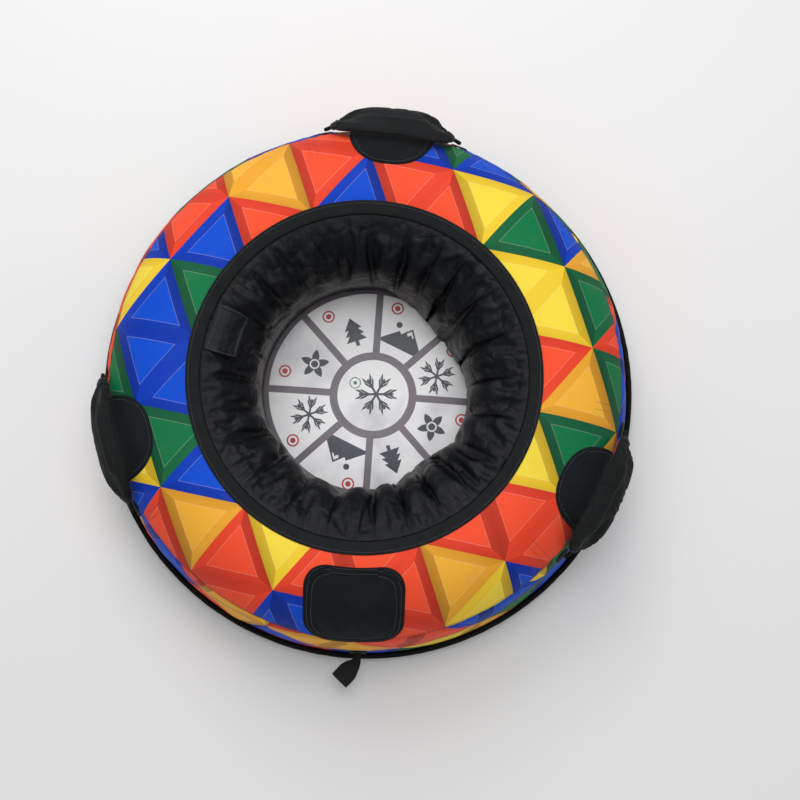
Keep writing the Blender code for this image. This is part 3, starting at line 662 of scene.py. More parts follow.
def tabPiece(name, cells, size, lift, ruffle, seed, spot, finish, node):
    # a small square of webbing, sewn down along its edge
    half = (size[0] / 2, size[1] / 2, tab["corner"])

    def place(u, v):
        x, y = squareCorners(crowd(u, 1.3), crowd(v, 1.3), *half)
        height = turnedEdge(squareEdge(x, y, *half), lift, 0.0014, 0.0030, 0.0007, 0.0009)
        return spot(x, y, max(height + ruffle * rough(x * 90, y * 90, seed), 0.0003))

    return clothPiece(name, cells, place, size, tab["thick"], finish, "ring", "webbing", node)


# Thread: short beads laid on a sewn piece along a line
thread = {"pitch": 0.0043, "length": 0.0031, "width": 0.00085, "few": 40}


def sew(form, surface, line, closed=False):
    # beads are made a few dozen at a time, because an operator looks through the whole form
    points = line + line[:1] if closed else line
    travel, due = 0.0, thread["pitch"] / 2
    few, count = bmesh.new(), 0
    for here, there in zip(points, points[1:]):
        step = (there - here).length
        while step and due <= travel + step:
            spot, up, _, _ = surface.find_nearest(here.lerp(there, (due - travel) / step))
            ahead = (there - here).normalized()
            ahead = (ahead - up * ahead.dot(up)).normalized()
            half = thread["width"] / 2
            bead = Matrix((ahead * (thread["length"] / 2), up.cross(ahead) * half, up * half))
            bead = bead.transposed().to_4x4()
            bead.translation = spot + up * (thread["width"] * 0.18)
            bmesh.ops.create_uvsphere(few, u_segments=6, v_segments=4, radius=1, matrix=bead)
            count += 1
            if count % thread["few"] == 0:
                few = pour(few, form)
            due += thread["pitch"]
        travel += step
    pour(few, form).free()


def pour(few, form):
    mesh = bpy.data.meshes.new("few")
    few.to_mesh(mesh)
    few.free()
    form.from_mesh(mesh)
    bpy.data.meshes.remove(mesh)
    return bmesh.new()


def threadPiece(name, rows, finish, body):
    # rows holds pairs of a piece and the lines of stitches on it, each with whether it closes
    form = bmesh.new()
    for piece, lines in rows:
        bpy.context.view_layer.update()
        surface = BVHTree.FromObject(piece, bpy.context.evaluated_depsgraph_get())
        for line, closed in lines:
            sew(form, surface, line, closed)
    return finishAs(fromForm(name, form), finish, body, "webbing")


def turnedPiece(name, profile, steps=192, closed=False, frame=None):
    # a profile in (radius, height) spun about Z, or about the axis of the frame that is given
    form = bmesh.new()
    corners = [form.verts.new((radius, 0, height)) for radius, height in profile]
    spans = list(zip(corners, corners[1:])) + ([(corners[-1], corners[0])] if closed else [])
    edges = [form.edges.new(span) for span in spans]
    bmesh.ops.spin(
        form, geom=corners + edges, cent=(0, 0, 0), axis=(0, 0, 1), dvec=(0, 0, 0),
        angle=2 * math.pi, steps=steps, use_merge=True,
    )
    bmesh.ops.remove_doubles(form, verts=form.verts, dist=0.000005)
    bmesh.ops.recalc_face_normals(form, faces=form.faces)
    if frame:
        bmesh.ops.transform(form, matrix=frame, verts=form.verts)
    return fromForm(name, form)


def rounded(points, rounds=2, closed=False):
    # cuts every corner of a profile, and keeps an open profile's ends
    points = [Vector(point) for point in points]
    for _ in range(rounds):
        pairs = list(zip(points, points[1:])) + ([(points[-1], points[0])] if closed else [])
        cut = [corner for a, b in pairs for corner in (a.lerp(b, 0.25), a.lerp(b, 0.75))]
        points = cut if closed else [points[0], *cut[1:-1], points[-1]]
    return points


def alongProfile(points):
    # gives a function from a share of the profile's length to its point, and the length
    reach = [0.0]
    for a, b in zip(points, points[1:]):
        reach.append(reach[-1] + (b - a).length)

    def at(share):
        goal = min(max(share, 0), 1) * reach[-1]
        i = 0
        while i < len(points) - 2 and reach[i + 1] < goal:
            i += 1
        span = reach[i + 1] - reach[i]
        return points[i].lerp(points[i + 1], (goal - reach[i]) / span if span else 0)

    return at, reach[-1]


# Cloth simulation, applied to the piece's mesh
def weigh(piece, name, weights):
    group = piece.vertex_groups.new(name=name)
    for index, weight in weights.items():
        group.add([index], weight, "REPLACE")


def settle(piece, frames, pins, grow, growth=None, pressure=1.0, stiffness=15.0, bending=0.5, mass=0.3,
           gravity=0.0, damping=3.0, quality=6):
    weigh(piece, "held", pins)
    cloth = piece.modifiers.new("Cloth", "CLOTH")
    settings = cloth.settings
    settings.quality, settings.mass, settings.air_damping = quality, mass, damping
    settings.tension_stiffness = settings.compression_stiffness = stiffness
    settings.shear_stiffness = stiffness / 3
    settings.bending_stiffness = bending
    settings.tension_damping = settings.compression_damping = settings.shear_damping = 5.0
    settings.effector_weights.gravity = gravity
    settings.vertex_group_mass = "held"
    settings.use_pressure, settings.uniform_pressure_force = True, pressure
    # the cloth is cut larger than the shape that it starts from, by this share
    settings.shrink_min = -grow
    if growth:
        weigh(piece, "fuller", {index: 1 - weight for index, weight in growth.items()})
        settings.shrink_max, settings.vertex_group_shrink = 0.0, "fuller"
    cloth.collision_settings.use_collision = True
    cloth.collision_settings.distance_min = 0.0015
    cloth.point_cache.frame_start, cloth.point_cache.frame_end = 1, frames
    scene = bpy.context.scene
    for number in range(1, frames + 1):
        scene.frame_set(number)
    graph = bpy.context.evaluated_depsgraph_get()
    drawn = bpy.data.meshes.new_from_object(
        piece.evaluated_get(graph), preserve_all_data_layers=True, depsgraph=graph)
    piece.modifiers.clear()
    flat, piece.data = piece.data, drawn
    piece.vertex_groups.clear()
    bpy.data.meshes.remove(flat)
    scene.frame_set(1)
    drawn.shade_smooth()


def holdNear(piece, start, most):
    # keeps each point of settled cloth within this reach of where it started
    for vertex in piece.data.vertices:
        move = vertex.co - start[vertex.index]
        if move.length > most:
            vertex.co = start[vertex.index] + move.normalized() * most


def placesOf(piece):
    return {vertex.index: vertex.co.copy() for vertex in piece.data.vertices}


# The sliding base: a dish of sheet plastic with a rolled lip
base = {
    "flat": 0.4163, "thick": 0.0045, "radius": 0.4978, "inner": 0.4943, "rim": 0.036, "lip": 0.046,
    "grooves": (0.120, 0.245, 0.370), "grooveWidth": 0.0022, "grooveDepth": 0.0008, "curve": 14,
    "black": tone(24, 24, 22), "scuff": tone(104, 102, 98), "dust": tone(70, 66, 60),
}


def buildBase():
    print("base")
    profile = [(0.0, 0.0)]
    half, depth = base["grooveWidth"], base["grooveDepth"]
    for radius in base["grooves"]:
        profile += [(radius - half, 0.0), (radius - half / 3, depth)]
        profile += [(radius + half / 3, depth), (radius + half, 0.0)]

    def wall(reach, foot):
        turns = [math.radians(90 * i / base["curve"]) for i in range(base["curve"] + 1)]
        return [(base["flat"] + (reach - base["flat"]) * math.sin(turn),
                 foot + (base["rim"] - foot) * (1 - math.cos(turn))) for turn in turns]

    low = base["rim"] + 0.003
    lip = rounded([(base["radius"], low), (base["radius"], base["lip"]), (base["inner"], base["lip"]),
                   (base["inner"], low)])
    profile += wall(base["radius"], 0.0) + [tuple(point) for point in lip]
    profile += wall(base["inner"], base["thick"])[::-1] + [(0.0, base["thick"])]
    dish = turnedPiece("slideBase", profile, 224)
    finish = Finish("scuffed base plastic", base["black"], 0.45)
    x, y, z = finish.parts(finish.place())
    drag = finish.speckle(finish.join(x * 260, y * 5, z * 40), 1.0, 3.0)
    faint = finish.speckle(finish.join(x * 60, y * 1.6, z * 10), 1.0, 5.0)
    cloud = finish.cloud(7.0, 4.0)
    low = (1 - z * 60).clamped()
    scuff = ((drag - 0.60) * 3.0).clamped() * ((faint - 0.42) * 4.0).clamped() * (low * 0.7 + 0.3)
    colour = finish.blend((scuff * 0.8).clamped(), base["black"], base["scuff"])
    finish.into("Base Color", finish.blend(((cloud - 0.45) * 0.6).clamped(), colour, base["dust"]))
    finish.into("Roughness", (scuff * 0.3 + cloud * 0.22 + 0.34).clamped())
    finish.bump(drag * 0.6 + finish.cloud(260.0) * 0.4, 0.0003, 0.5)
    finishAs(dish, finish, "ring", "base_plastic", "slide_base")


# Tape folded over the lip
binding = {
    "cells": (720, 20), "wave": 0.0007, "sag": 0.0006, "lap": 0.0012, "thick": 0.0013,
    "middle": (0.4962, 0.036),
    "profile": [(0.4923, 0.0370), (0.4922, 0.0446), (0.4928, 0.0486), (0.4968, 0.0491),
                (0.5003, 0.0480), (0.5006, 0.0420), (0.5005, 0.0320)],
}


def buildBinding():
    print("rim binding")
    at, length = alongProfile(rounded(binding["profile"]))

    def place(u, v):
        bearing, share = u * 180, (v + 1) / 2
        radius, height = at(share)
        wave = binding["wave"] * smooth(0.35, 0.8, share)
        radius += wave * (ripple(bearing, 230, 40.0, share) + 0.5 * ripple(bearing, 700, 44.0))
        height += binding["sag"] * ripple(bearing, 90, 50.0) * smooth(0.3, 1.0, share)
        lap = smooth(101.0, 101.4, bearing) * (1 - smooth(107.0, 107.3, bearing))
        return onRing(bearing, radius + binding["lap"] * lap, height)

    def middle(point):
        return onRing(bearingOf(point), *binding["middle"])

    finish = webbing("rim tape cloth", tone(20, 21, 21))
    flat = (math.pi, length)
    return clothPiece("rimTape", binding["cells"], place, flat, binding["thick"], finish, "ring",
                      "webbing", "rim_binding", closed=True, centre=middle)


# The binding round the well's mouth
mouth = {
    "cells": (480, 26), "wave": 0.00045, "sag": 0.0004, "groove": 0.00055, "stitchAt": 0.80, "lap": 0.0013,
    "thick": 0.0010, "middle": 0.297,
    "profile": [(0.0010, -0.0008), (-0.0004, 0.0002), (-0.0006, 0.0016), (0.0012, 0.0029), (0.0060, 0.0031),
                (0.0120, 0.0030), (0.0180, 0.0030), (0.0216, 0.0029), (0.0236, 0.0016), (0.0232, 0.0003)],
}


def mouthLine(share):
    across, lift = mouth["at"](share)
    return angleAt(ring["coverOut"], ring["mouth"]) - math.degrees(across / ring["coverOut"]), lift


def buildMouth():
    print("mouth ring")
    mouth["at"], length = alongProfile(rounded(mouth["profile"]))

    def place(u, v):
        bearing, share = u * 180, (v + 1) / 2
        angle, lift = mouthLine(share)
        top = smooth(0.1, 0.3, share) * (1 - smooth(0.9, 1.0, share))
        uneven = mouth["wave"] * ripple(bearing, 150, 60.0, share * 2)
        uneven += mouth["sag"] * ripple(bearing, 44, 63.0)
        lift += top * uneven
        lift -= mouth["groove"] * bell(share, mouth["stitchAt"], 0.035)
        lap = smooth(1.8, 2.3, bearing) * (1 - smooth(9.2, 9.6, bearing))
        lift += mouth["lap"] * lap * smooth(0.0, 0.12, share)
        return onRing(bearing, *sectionPoint(ring["coverOut"] + lift, angle))

    finish = webbing("mouth band cloth", tone(27, 29, 30), 0.0019)
    flat = (2 * math.pi * mouth["middle"], length)
    return clothPiece("mouthBand", mouth["cells"], place, flat, mouth["thick"], finish, "ring", "webbing",
                      "mouth_ring", closed=True)


# The gathered sleeve of thin cloth that lines the well
sleeve = {
    "cells": (300, 40), "foldCount": 24, "foldDepth": 0.022, "foldWander": 3.0, "tuck": 0.0014,
    "bottom": 0.0255, "middle": 0.29, "cutLonger": 1.08, "slackTowards": -48.0, "thick": 0.0006,
    "clear": 0.0012, "startStand": 0.013, "eye": 0.0095, "heldRound": 0.021, "deepest": 0.046,
    "colour": tone(10, 12, 15),
    "cloth": {"frames": 40, "grow": 0.22, "pressure": 0.10, "stiffness": 12.0, "bending": 1.3, "mass": 0.25,
              "gravity": 0.1, "quality": 5},
    # how far the cloth stands into the well low down, by bearing: at the front right it hangs over the seat
    "overhangs": ((-180, 0.008), (-160, 0.006), (-141, 0.018), (-121, 0.009), (-99, 0.010), (-80, 0.014),
                  (-55, 0.046), (-34, 0.017), (-19, 0.016), (-2, 0.024), (14, 0.033), (44, 0.046), (68, 0.024),
                  (90, 0.014), (135, 0.012), (180, 0.008)),
}


def sleeveLine(share):
    # the sleeve's rest line down the tube and the well: distance, height and the way off the tube
    top = angleAt(ring["sleeve"], ring["mouth"] - sleeve["tuck"])
    arc = math.radians(180 - top) * ring["sleeve"]
    length = arc + ring["centreZ"] - sleeve["bottom"]
    travel = share * length
    if travel < arc:
        angle = top + math.degrees(travel / ring["sleeve"])
        return Vector(sectionPoint(ring["sleeve"], angle)), heading(angle), length
    return Vector((ring["well"], ring["centreZ"] - (travel - arc))), Vector((-1.0, 0.0)), length


def valveFrame():
    # the valve's seat on the tube, the way out from there, and both as a matrix
    surface = onRing(valve["bearing"], *sectionPoint(ring["tube"], valve["angle"]))
    turn = math.radians(valve["angle"])
    outward = onRing(valve["bearing"], math.cos(turn), math.sin(turn))
    frame = outward.to_track_quat("Z", "Y").to_matrix().to_4x4()
    frame.translation = surface
    return surface, outward, frame


def fromValve(point, surface, outward):
    rel = point - surface
    return rel - outward * rel.dot(outward)


def foldWave(bearing):
    # a round ridge and a narrow valley to each gather, unevenly spread round the well
    even = bearing
    for _ in range(4):
        even = bearing - sleeve["foldWander"] * math.sin(math.radians(3 * even))
    turn = math.radians(bearing)
    wave = abs(math.sin(math.radians(even) * sleeve["foldCount"] / 2))
    uneven = 0.76 + 0.12 * math.sin(5 * turn + 1) + 0.12 * math.cos(turn - math.radians(sleeve["slackTowards"]))
    return wave ** 0.8 * uneven


def overhangAt(bearing):
    listed = sleeve["overhangs"]
    for (start, low), (end, high) in zip(listed, listed[1:]):
        if bearing <= end:
            return low + (high - low) * smooth(start, end, bearing)
    return listed[-1][1]


def standLimit(point, surface, outward):
    # how far the sleeve may stand off: little round the valve and under its flap, more further off
    aside = fromValve(point, surface, outward).length
    most = 0.0012 + 0.0045 * smooth(0.030, 0.055, aside) + sleeve["deepest"] * smooth(0.052, 0.085, aside)
    low = smooth(ring["centreZ"] + 0.075, ring["centreZ"] + 0.02, point.z)
    spare = overhangAt(bearingOf(point))
    # where it leaves the seat's edge bare, it draws back further towards the foot
    drawn = 1 - smooth(seat["top"], ring["centreZ"], point.z)
    spare *= 1 - 0.75 * drawn * (1 - smooth(0.018, 0.030, spare))
    return most + (min(most, spare) - most) * low


def softened(stand, most):
    # close to the lesser of the two, with the folds still showing near the limit
    return stand if stand <= 0 else (stand**-3 + most**-3) ** (-1 / 3)


def buildSleeve():
    print("seat sleeve")
    surface, outward, _ = valveFrame()
    length = sleeveLine(0)[2]

    def place(u, v):
        bearing, share = u * 180, (v + 1) / 2
        spot, out, _ = sleeveLine(share)
        lean = 1.5 * math.sin(math.radians(5 * bearing)) * share
        stand = sleeve["foldDepth"] * foldWave(bearing + lean)
        stand *= smooth(0.0, 0.35, share) * (1 - smooth(0.86, 1.0, share))
        if spot.y < ring["centreZ"] + 0.04:
            stand = min(stand, sleeve["startStand"])
        stand += 0.0016 * smooth(0.0, 0.1, share) * ripple(bearing, 70, 80.0, share * 4)
        point = onRing(bearing, *(spot + out * max(stand, 0.0)))
        clear = standLimit(point, surface, outward)
        return onRing(bearing, *(spot + out * clear)) if stand > clear else point

    stations, held, growth = {}, {}, {}
    cut = length * sleeve["cutLonger"]
    size = (2 * math.pi * sleeve["middle"], cut)
    lining = drape("sleeveLining", sleeve["cells"], place, size, True, stations=stations)
    for index, (u, v) in stations.items():
        bearing, edge = u * 180, abs(v) > 0.998
        aside = fromValve(lining.data.vertices[index].co, surface, outward).length
        held[index] = 1.0 if edge else 1 - smooth(sleeve["heldRound"], sleeve["heldRound"] + 0.016, aside)
        around = 0.66 + 0.26 * math.cos(math.radians(bearing - sleeve["slackTowards"]))
        growth[index] = min(max(around, 0.45 + 0.55 * overhangAt(bearing) / sleeve["deepest"]), 1.0)
    tube = tubeForm()
    settle(lining, pins=held, growth=growth, **sleeve["cloth"])
    bpy.data.objects.remove(tube)
    keepInWell(lining, surface, outward)
    reshape(lining, lambda form: openEye(form, surface, outward))
    thicken(lining, sleeve["thick"])
    soften(lining)
    finishAs(lining, nylonCloth("sleeve nylon", sleeve["colour"]), "ring", "sleeve_cloth", "seat_sleeve")


def tubeForm():
    # the tube that the lining rests against while it settles
    form = bmesh.new()
    bmesh.ops.create_circle(form, segments=40, radius=ring["tube"])
    stand = Matrix.Translation((ring["radius"], 0, ring["centreZ"])) @ Matrix.Rotation(math.pi / 2, 4, "X")
    bmesh.ops.transform(form, matrix=stand, verts=form.verts)
    bmesh.ops.spin(form, geom=form.verts[:] + form.edges[:], cent=(0, 0, 0), axis=(0, 0, 1), dvec=(0, 0, 0),
                   angle=2 * math.pi, steps=120, use_merge=True)
    bmesh.ops.recalc_face_normals(form, faces=form.faces)
    tube = fromForm("tubeForm", form)
    tube.modifiers.new("Collision", "COLLISION")
    tube.collision.thickness_outer, tube.collision.cloth_friction = 0.001, 8
    return tube


def keepInWell(lining, surface, outward):
    # holds the settled cloth between the wall and its limit
    for vertex in lining.data.vertices:
        limit = standLimit(vertex.co, surface, outward)
        if vertex.co.z > ring["centreZ"]:
            off = vertex.co - tubeMiddle(vertex.co)
            stand, low = off.length - ring["sleeve"], ring["tube"] + sleeve["clear"] - off.length
            way = off.normalized()
        else:
            distance = math.hypot(vertex.co.x, vertex.co.y)
            stand, low = ring["well"] - distance, distance - ring["well"] - sleeve["clear"]
            way = -Vector((vertex.co.x, vertex.co.y, 0)).normalized()
        vertex.co -= way * (stand - softened(stand, limit))
        if low > 0:
            vertex.co += way * low
    lining.data.update()


def openEye(form, surface, outward):
    # a round hole for the valve: cells inside it go, and its edge is drawn onto the circle
    def aside(point):
        far = abs((point - surface).dot(outward)) >= 0.02
        return Vector((9, 9, 9)) if far else fromValve(point, surface, outward)

    inside = [face for face in form.faces if aside(face.calc_center_median()).length < sleeve["eye"]]
    bmesh.ops.delete(form, geom=inside, context="FACES")
    for vertex in form.verts:
        off = aside(vertex.co)
        if vertex.is_boundary and off.length < sleeve["eye"] * 2:
            vertex.co += off.normalized() * (sleeve["eye"] - off.length)


# The printed disc on its foam pad
seat = {
    "radius": 0.2046, "top": 0.0323, "flat": 0.100, "crown": 0.0080, "steps": 240, "rings": 46,
    "puckers": 0.0012, "slack": 0.0011, "hubDip": 0.0007, "hubSeam": 0.0755, "deepest": -0.0009, "sunk": 0.0006,
    "hub": (0.0095, -0.0076), "hubOuter": 0.083, "hubWidth": 0.015, "spoke": 0.0134, "firstSpoke": -4.0,
    "border": 0.0145, "motifAt": 0.127, "motifScale": 1.95, "berryAt": 0.172,
    "under": 0.0019, "foamFoot": 0.0052,
    # shade is the grey of the painted satin shade on the silver
    "silver": tone(243, 242, 244), "shade": tone(176, 173, 181), "grey": tone(112, 104, 112),
    "mottle": tone(84, 78, 88), "navy": tone(35, 45, 56), "red": tone(186, 42, 36), "green": tone(34, 110, 62),
}


def crownAt(radius):
    beyond = max(radius - seat["flat"], 0) / (seat["radius"] - seat["flat"])
    return seat["top"] - seat["crown"] * beyond * beyond


def buildSeat():
    print("seat")
    rows = [(seat["radius"] * i / seat["rings"]) for i in range(seat["rings"] + 1)]
    disc = turnedPiece("seatDisc", [(radius, crownAt(radius)) for radius in rows], seat["steps"])

    def rumple(form):
        for vertex in form.verts:
            radius = math.hypot(vertex.co.x, vertex.co.y)
            edge = smooth(0.110, 0.200, radius)
            drop = seat["puckers"] * edge * (ripple(bearingOf(vertex.co), 46, 90.0, radius * 6) - 0.25)
            drop += seat["slack"] * noise.noise(vertex.co * 13.0) * (0.35 + 0.65 * edge)
            drop -= seat["hubDip"] * bell(radius, seat["hubSeam"], 0.006)
            vertex.co.z += max(drop, seat["deepest"]) - seat["sunk"]
        bmesh.ops.recalc_face_normals(form, faces=form.faces)

    reshape(disc, rumple)
    if disc.data.polygons[0].normal.z < 0:
        disc.data.flip_normals()
    thicken(disc, 0.0008)
    finishAs(disc, seatPrint(), "ring", "seat_cloth", "seat_panel")

    shape = [(radius * 0.985, crownAt(radius * 0.985) - seat["under"]) for radius in rows]
    outer, low = shape[-1][0], seat["foamFoot"]
    side = [shape.pop(), (outer + 0.0016, 0.0205), (outer + 0.0016, 0.0090)]
    side += [(outer, 0.0056), (outer - 0.004, low)]
    shape += [tuple(point) for point in rounded(side)] + [(0.0, low)]
    cushion = finishAs(turnedPiece("seatPad", shape, 160), foamFinish(), "ring", "foam", "seat_foam")


def away(x, y):
    return (x * x + y * y) ** 0.5


def seatPrint():
    finish = Finish("silver seat print", seat["silver"], 0.36, **{"Specular IOR Level": 0.7})
    px, py, _ = finish.parts(finish.place())
    x, y = px - seat["hub"][0], py - seat["hub"][1]
    reach = away(x, y)
    turn = (y.towards(x) - math.radians(seat["firstSpoke"])) / math.radians(45) + 16
    sector, share = turn.floor(), turn.fract()
    aside = (share - 0.5) * math.radians(45)
    fromSpoke = (0.5 - abs(share - 0.5)) * math.radians(45)
    spoke = (fromSpoke * reach < seat["spoke"] / 2) * (reach > seat["hubOuter"] - 0.004)
    hubRing = abs(reach - (seat["hubOuter"] - seat["hubWidth"] / 2)) < seat["hubWidth"] / 2
    grey = spoke.most(hubRing).most(away(px, py) > (seat["radius"] - seat["border"]))

    # four winter motifs in turn round the disc, a berry beside each, and a large snowflake on the hub
    mx = (reach * aside.cos() - seat["motifAt"]) * (1000 / seat["motifScale"])
    my = (reach * aside.sin() + 0.004) * (1000 / seat["motifScale"])
    kind = (sector / 4).fract() * 4
    motifs = [drawn * (abs(kind - i) < 0.4) for i, drawn in enumerate(
        (snowflake(mx, my, 15.0), peak(mx, my), pine(mx, my), crystal(mx, my)))]
    motif = motifs[0].most(motifs[1]).most(motifs[2]).most(motifs[3])
    hub = reach < (seat["hubOuter"] - seat["hubWidth"])
    badge = away(x * 1000 + 34, y * 1000 - 24)
    leaf = (abs(badge - 10.0) < 0.9).most(badge < 3.4)
    flake = snowflake(x * 1000 - 6, y * 1000 - 2, 33.0) * hub * (1 - leaf)
    navy = (motif * (1 - grey)).most(flake)
    dot = away((reach * aside.cos() - seat["berryAt"]) * 1000, reach * aside.sin() * 1000 - 33)
    berry = (abs(dot - 10.5) < 1.5).most(dot < 5.2) * (1 - grey) * (1 - navy)

    # painted satin sheen and shade: two broad noises blend the silver towards the darker painted shade grey;
    # the second noise also mottles the grey print and sets the roughness
    sheen = finish.speckle(finish.join(px, py * 0.6), 5.0)
    fan = finish.speckle(finish.join(px, py), 11.0, 3.0)
    tint = finish.blend(((sheen + fan - 1.0) * 1.9).clamped(), seat["silver"], seat["shade"])
    tint = finish.blend(grey, tint, finish.blend((fan * 0.6).clamped(), seat["grey"], seat["mottle"]))
    for mask, colour in ((navy, "navy"), (berry, "red"), (leaf * hub, "green")):
        tint = finish.blend(mask, tint, seat[colour])
    finish.into("Base Color", tint)
    finish.into("Roughness", fan * 0.22 + 0.26)
    weave = abs((px * 3100).sin() * (py * 3100).cos())
    finish.bump(weave * 0.3 + finish.cloud(34.0, 3.0) * 1.4, 0.0006, 0.5)
    return finish


def snowflake(x, y, size):
    # six arms with two pairs of barbs, folded from one arm
    reach = away(x, y)
    fold = abs((y.towards(x) / math.radians(60) + 12.5).fract() - 0.5) * math.radians(60)
    along, off = reach * fold.cos(), reach * fold.sin()
    mask = (off < size * 0.065) * (along < size)
    for start in (0.42, 0.68):
        slant = abs(off * 0.866 - (along - size * start) * 0.5)
        mask = mask.most((slant < size * 0.055) * (off < size * 0.27) * (along > size * start))
    return mask.most(reach < size * 0.15)


def peak(x, y):
    # two hills with snow on the higher, pointing outwards
    front = ((-x - abs(y + 4) * 1.15 + 11) > 0) * (x > -13)
    back = ((-x - abs(y - 7) + 4) > 0) * (x > -13)
    snow = (x > (2 + abs((y / 5).fract() - 0.5) * 6)) * (x < (8.4 - abs(y + 4) * 1.15))
    sun = ((x - 9) ** 2 + (y - 10) ** 2) < 9.0
    return (front * (1 - snow)).most(back).most(sun)


def pine(x, y):
    mask = (abs(y) < 1.8) * (x > -14) * (x < 0)
    for foot, top, slope in ((-9, 4, 0.80), (-3, 9, 0.80), (3, 15, 0.72)):
        mask = mask.most((x > foot) * (abs(y) < (top - x) * slope))
    return mask


def crystal(x, y):
    reach = away(x, y)
    fold = abs((y.towards(x) / math.radians(72) + 12.5).fract() - 0.5) * 2
    return (reach < (14.5 - fold * 9.0)) * (1 - (abs(reach - 4.2) < 0.8))


# The flap sewn along a straight fold over the valve
flap = {
    "width": 0.083, "depth": 0.062, "lift": 0.0125, "sewn": 0.0036, "gap": 0.0024, "cells": (56, 44),
    "hem": 0.007, "hemLift": 0.0007, "wave": 0.0016, "curl": 0.0014, "sag": 0.0014, "thick": 0.0011,
    "stitched": (0.92, 0.08, 0.91),
}


def flapSpot(u, share, extra=0.0):
    fold = math.sqrt((ring["mouth"] - flap["gap"]) ** 2 - (flap["width"] / 2) ** 2)
    start = angleAt(ring["coverOut"] + flap["sewn"], fold)
    end = start + math.degrees(flap["depth"] / (ring["coverOut"] + flap["lift"]))
    middle, _ = sectionPoint(ring["coverOut"], (start + end) / 2)
    sideways = onRing(valve["bearing"] + 90, 1, 0)
    climb = math.sin(math.radians(min(share * 2.2, 1) * 90))
    lift = flap["sewn"] + (flap["lift"] - flap["sewn"]) * climb + extra
    distance, height = sectionPoint(ring["coverOut"] + lift, start + (end - start) * share)
    aside = -u * flap["width"] / 2
    straight = onRing(valve["bearing"], distance, height) + sideways * aside
    curved = onRing(valve["bearing"] + math.degrees(aside / middle), distance, height)
    return straight.lerp(curved, share)


def buildFlap():
    print("valve flap")

    def place(u, v):
        share = (v + 1) / 2
        edge = min((1 - abs(u)) * flap["width"] / 2, (1 - share) * flap["depth"])
        hem = flap["hemLift"] * (1 - smooth(flap["hem"] * 0.85, flap["hem"], edge))
        wave = flap["wave"] * smooth(0.2, 1.0, share) * rough(u * 1.6, share * 2.0, 5.0)
        curl = flap["curl"] * smooth(0.7, 1.0, share) * abs(u) ** 3
        sag = -flap["sag"] * smooth(0.1, 0.5, share) * (1 - u * u) * (1 - smooth(0.85, 1.0, share))
        return flapSpot(u, share, hem + wave + curl + sag)

    cloth = clothPiece("valveFlap", flap["cells"], place, (flap["width"], flap["depth"]), flap["thick"],
                       nylonCloth("flap nylon", tone(17, 19, 21)), "flap", "sleeve_cloth", "valve_flap")
    return cloth


# Valve: a rubber stem, its core, a ribbed cap and the cloth hoop round it, each by radius and height
stem = {
    "neck": [(0.0019, 0.0110), (0.0036, 0.0110), (0.0040, 0.0106), (0.0040, 0.0036)],
    "shoulder": [(0.0068, 0.0011), (0.0068, 0.0019), (0.0050, 0.0024), (0.0040, 0.0034)],
    "foot": [(0.0040, 0.0010), (0.0040, -0.0044), (0.0085, -0.0046), (0.0085, -0.0059), (0.0019, -0.0060)],
    "core": [(0.0, 0.0104), (0.0005, 0.0104), (0.0006, 0.0092), (0.0013, 0.0090), (0.0015, 0.0079),
             (0.0015, -0.0056), (0.0, -0.0056)],
    "cap": [(0.0, 0.0125), (0.0030, 0.0125), (0.0044, 0.0122), (0.0052, 0.0113), (0.0055, 0.0101),
            (0.0055, 0.0047), (0.0052, 0.0041), (0.0044, 0.0040), (0.0044, 0.0114), (0.0, 0.0114)],
    "hoop": [(0.0118, 0.0034), (0.0124, 0.0044), (0.0112, 0.0050), (0.0098, 0.0050), (0.0090, 0.0040),
             (0.0092, 0.0022), (0.0112, 0.0024)],
    "ribs": 26, "ribFrom": 0.0053, "ribDepth": 0.05, "brass": (0.62, 0.43, 0.17, 1.0),
}


def buildValve():
    print("valve")
    stand = valveFrame()[2]
    shoulder = [tuple(point) for point in rounded(stem["shoulder"])]
    body = turnedPiece("valveStem", stem["neck"] + shoulder[::-1] + stem["foot"], 64, True, stand)
    finishAs(body, rubberFinish("stem rubber", tone(26, 26, 27)), "ring", "tube_rubber", "valve_stem")

    core = turnedPiece("valveCore", stem["core"], 40, False, stand)
    brass = Finish("valve brass", stem["brass"], 0.3, Metallic=1.0)
    brass.into("Roughness", brass.cloud(900.0) * 0.3 + 0.18)
    brass.bump(brass.cloud(1600.0), 0.0001, 0.4)
    finishAs(core, brass, "ring", "valve_brass", "valve_core")

    def ribbed(form):
        for vertex in form.verts:
            if math.hypot(vertex.co.x, vertex.co.y) > stem["ribFrom"]:
                wave = 0.5 + 0.5 * math.cos(stem["ribs"] * math.atan2(vertex.co.y, vertex.co.x))
                scale = 1 - stem["ribDepth"] * wave
                vertex.co.x, vertex.co.y = vertex.co.x * scale, vertex.co.y * scale
        bmesh.ops.transform(form, matrix=stand, verts=form.verts)

    cap = turnedPiece("valveCap", stem["cap"], stem["ribs"] * 4)
    reshape(cap, ribbed)
    plastic = Finish("cap plastic", cloths["towing"], 0.42)
    plastic.into("Roughness", plastic.cloud(700.0) * 0.3 + 0.28)
    plastic.bump(plastic.cloud(1500.0, 3.0), 0.0001, 0.5)
    finishAs(cap, plastic, "dust_cap", "cap_plastic", "valve_cap")

    hoop = [tuple(point) for point in rounded(stem["hoop"], closed=True)]
    hoop = turnedPiece("eyeHoop", hoop, 64, True, stand)
    finishAs(hoop, webbing("eye hoop cloth", tone(30, 31, 32), 0.0012), "ring", "webbing")


# The padded square below the well
pad = {
    "bearing": -92.5, "size": (0.175, 0.154), "half": (0.175 / 2, 0.154 / 2, 0.046), "cells": (72, 64),
    "lift": 0.0046, "border": 0.0145, "piping": 0.0062, "crown": 0.0085, "clear": 0.0030, "thick": 0.0016,
}


def padMiddle():
    return ring["seam"] + math.degrees((pad["half"][1] + 0.0023) / ring["patchIn"])


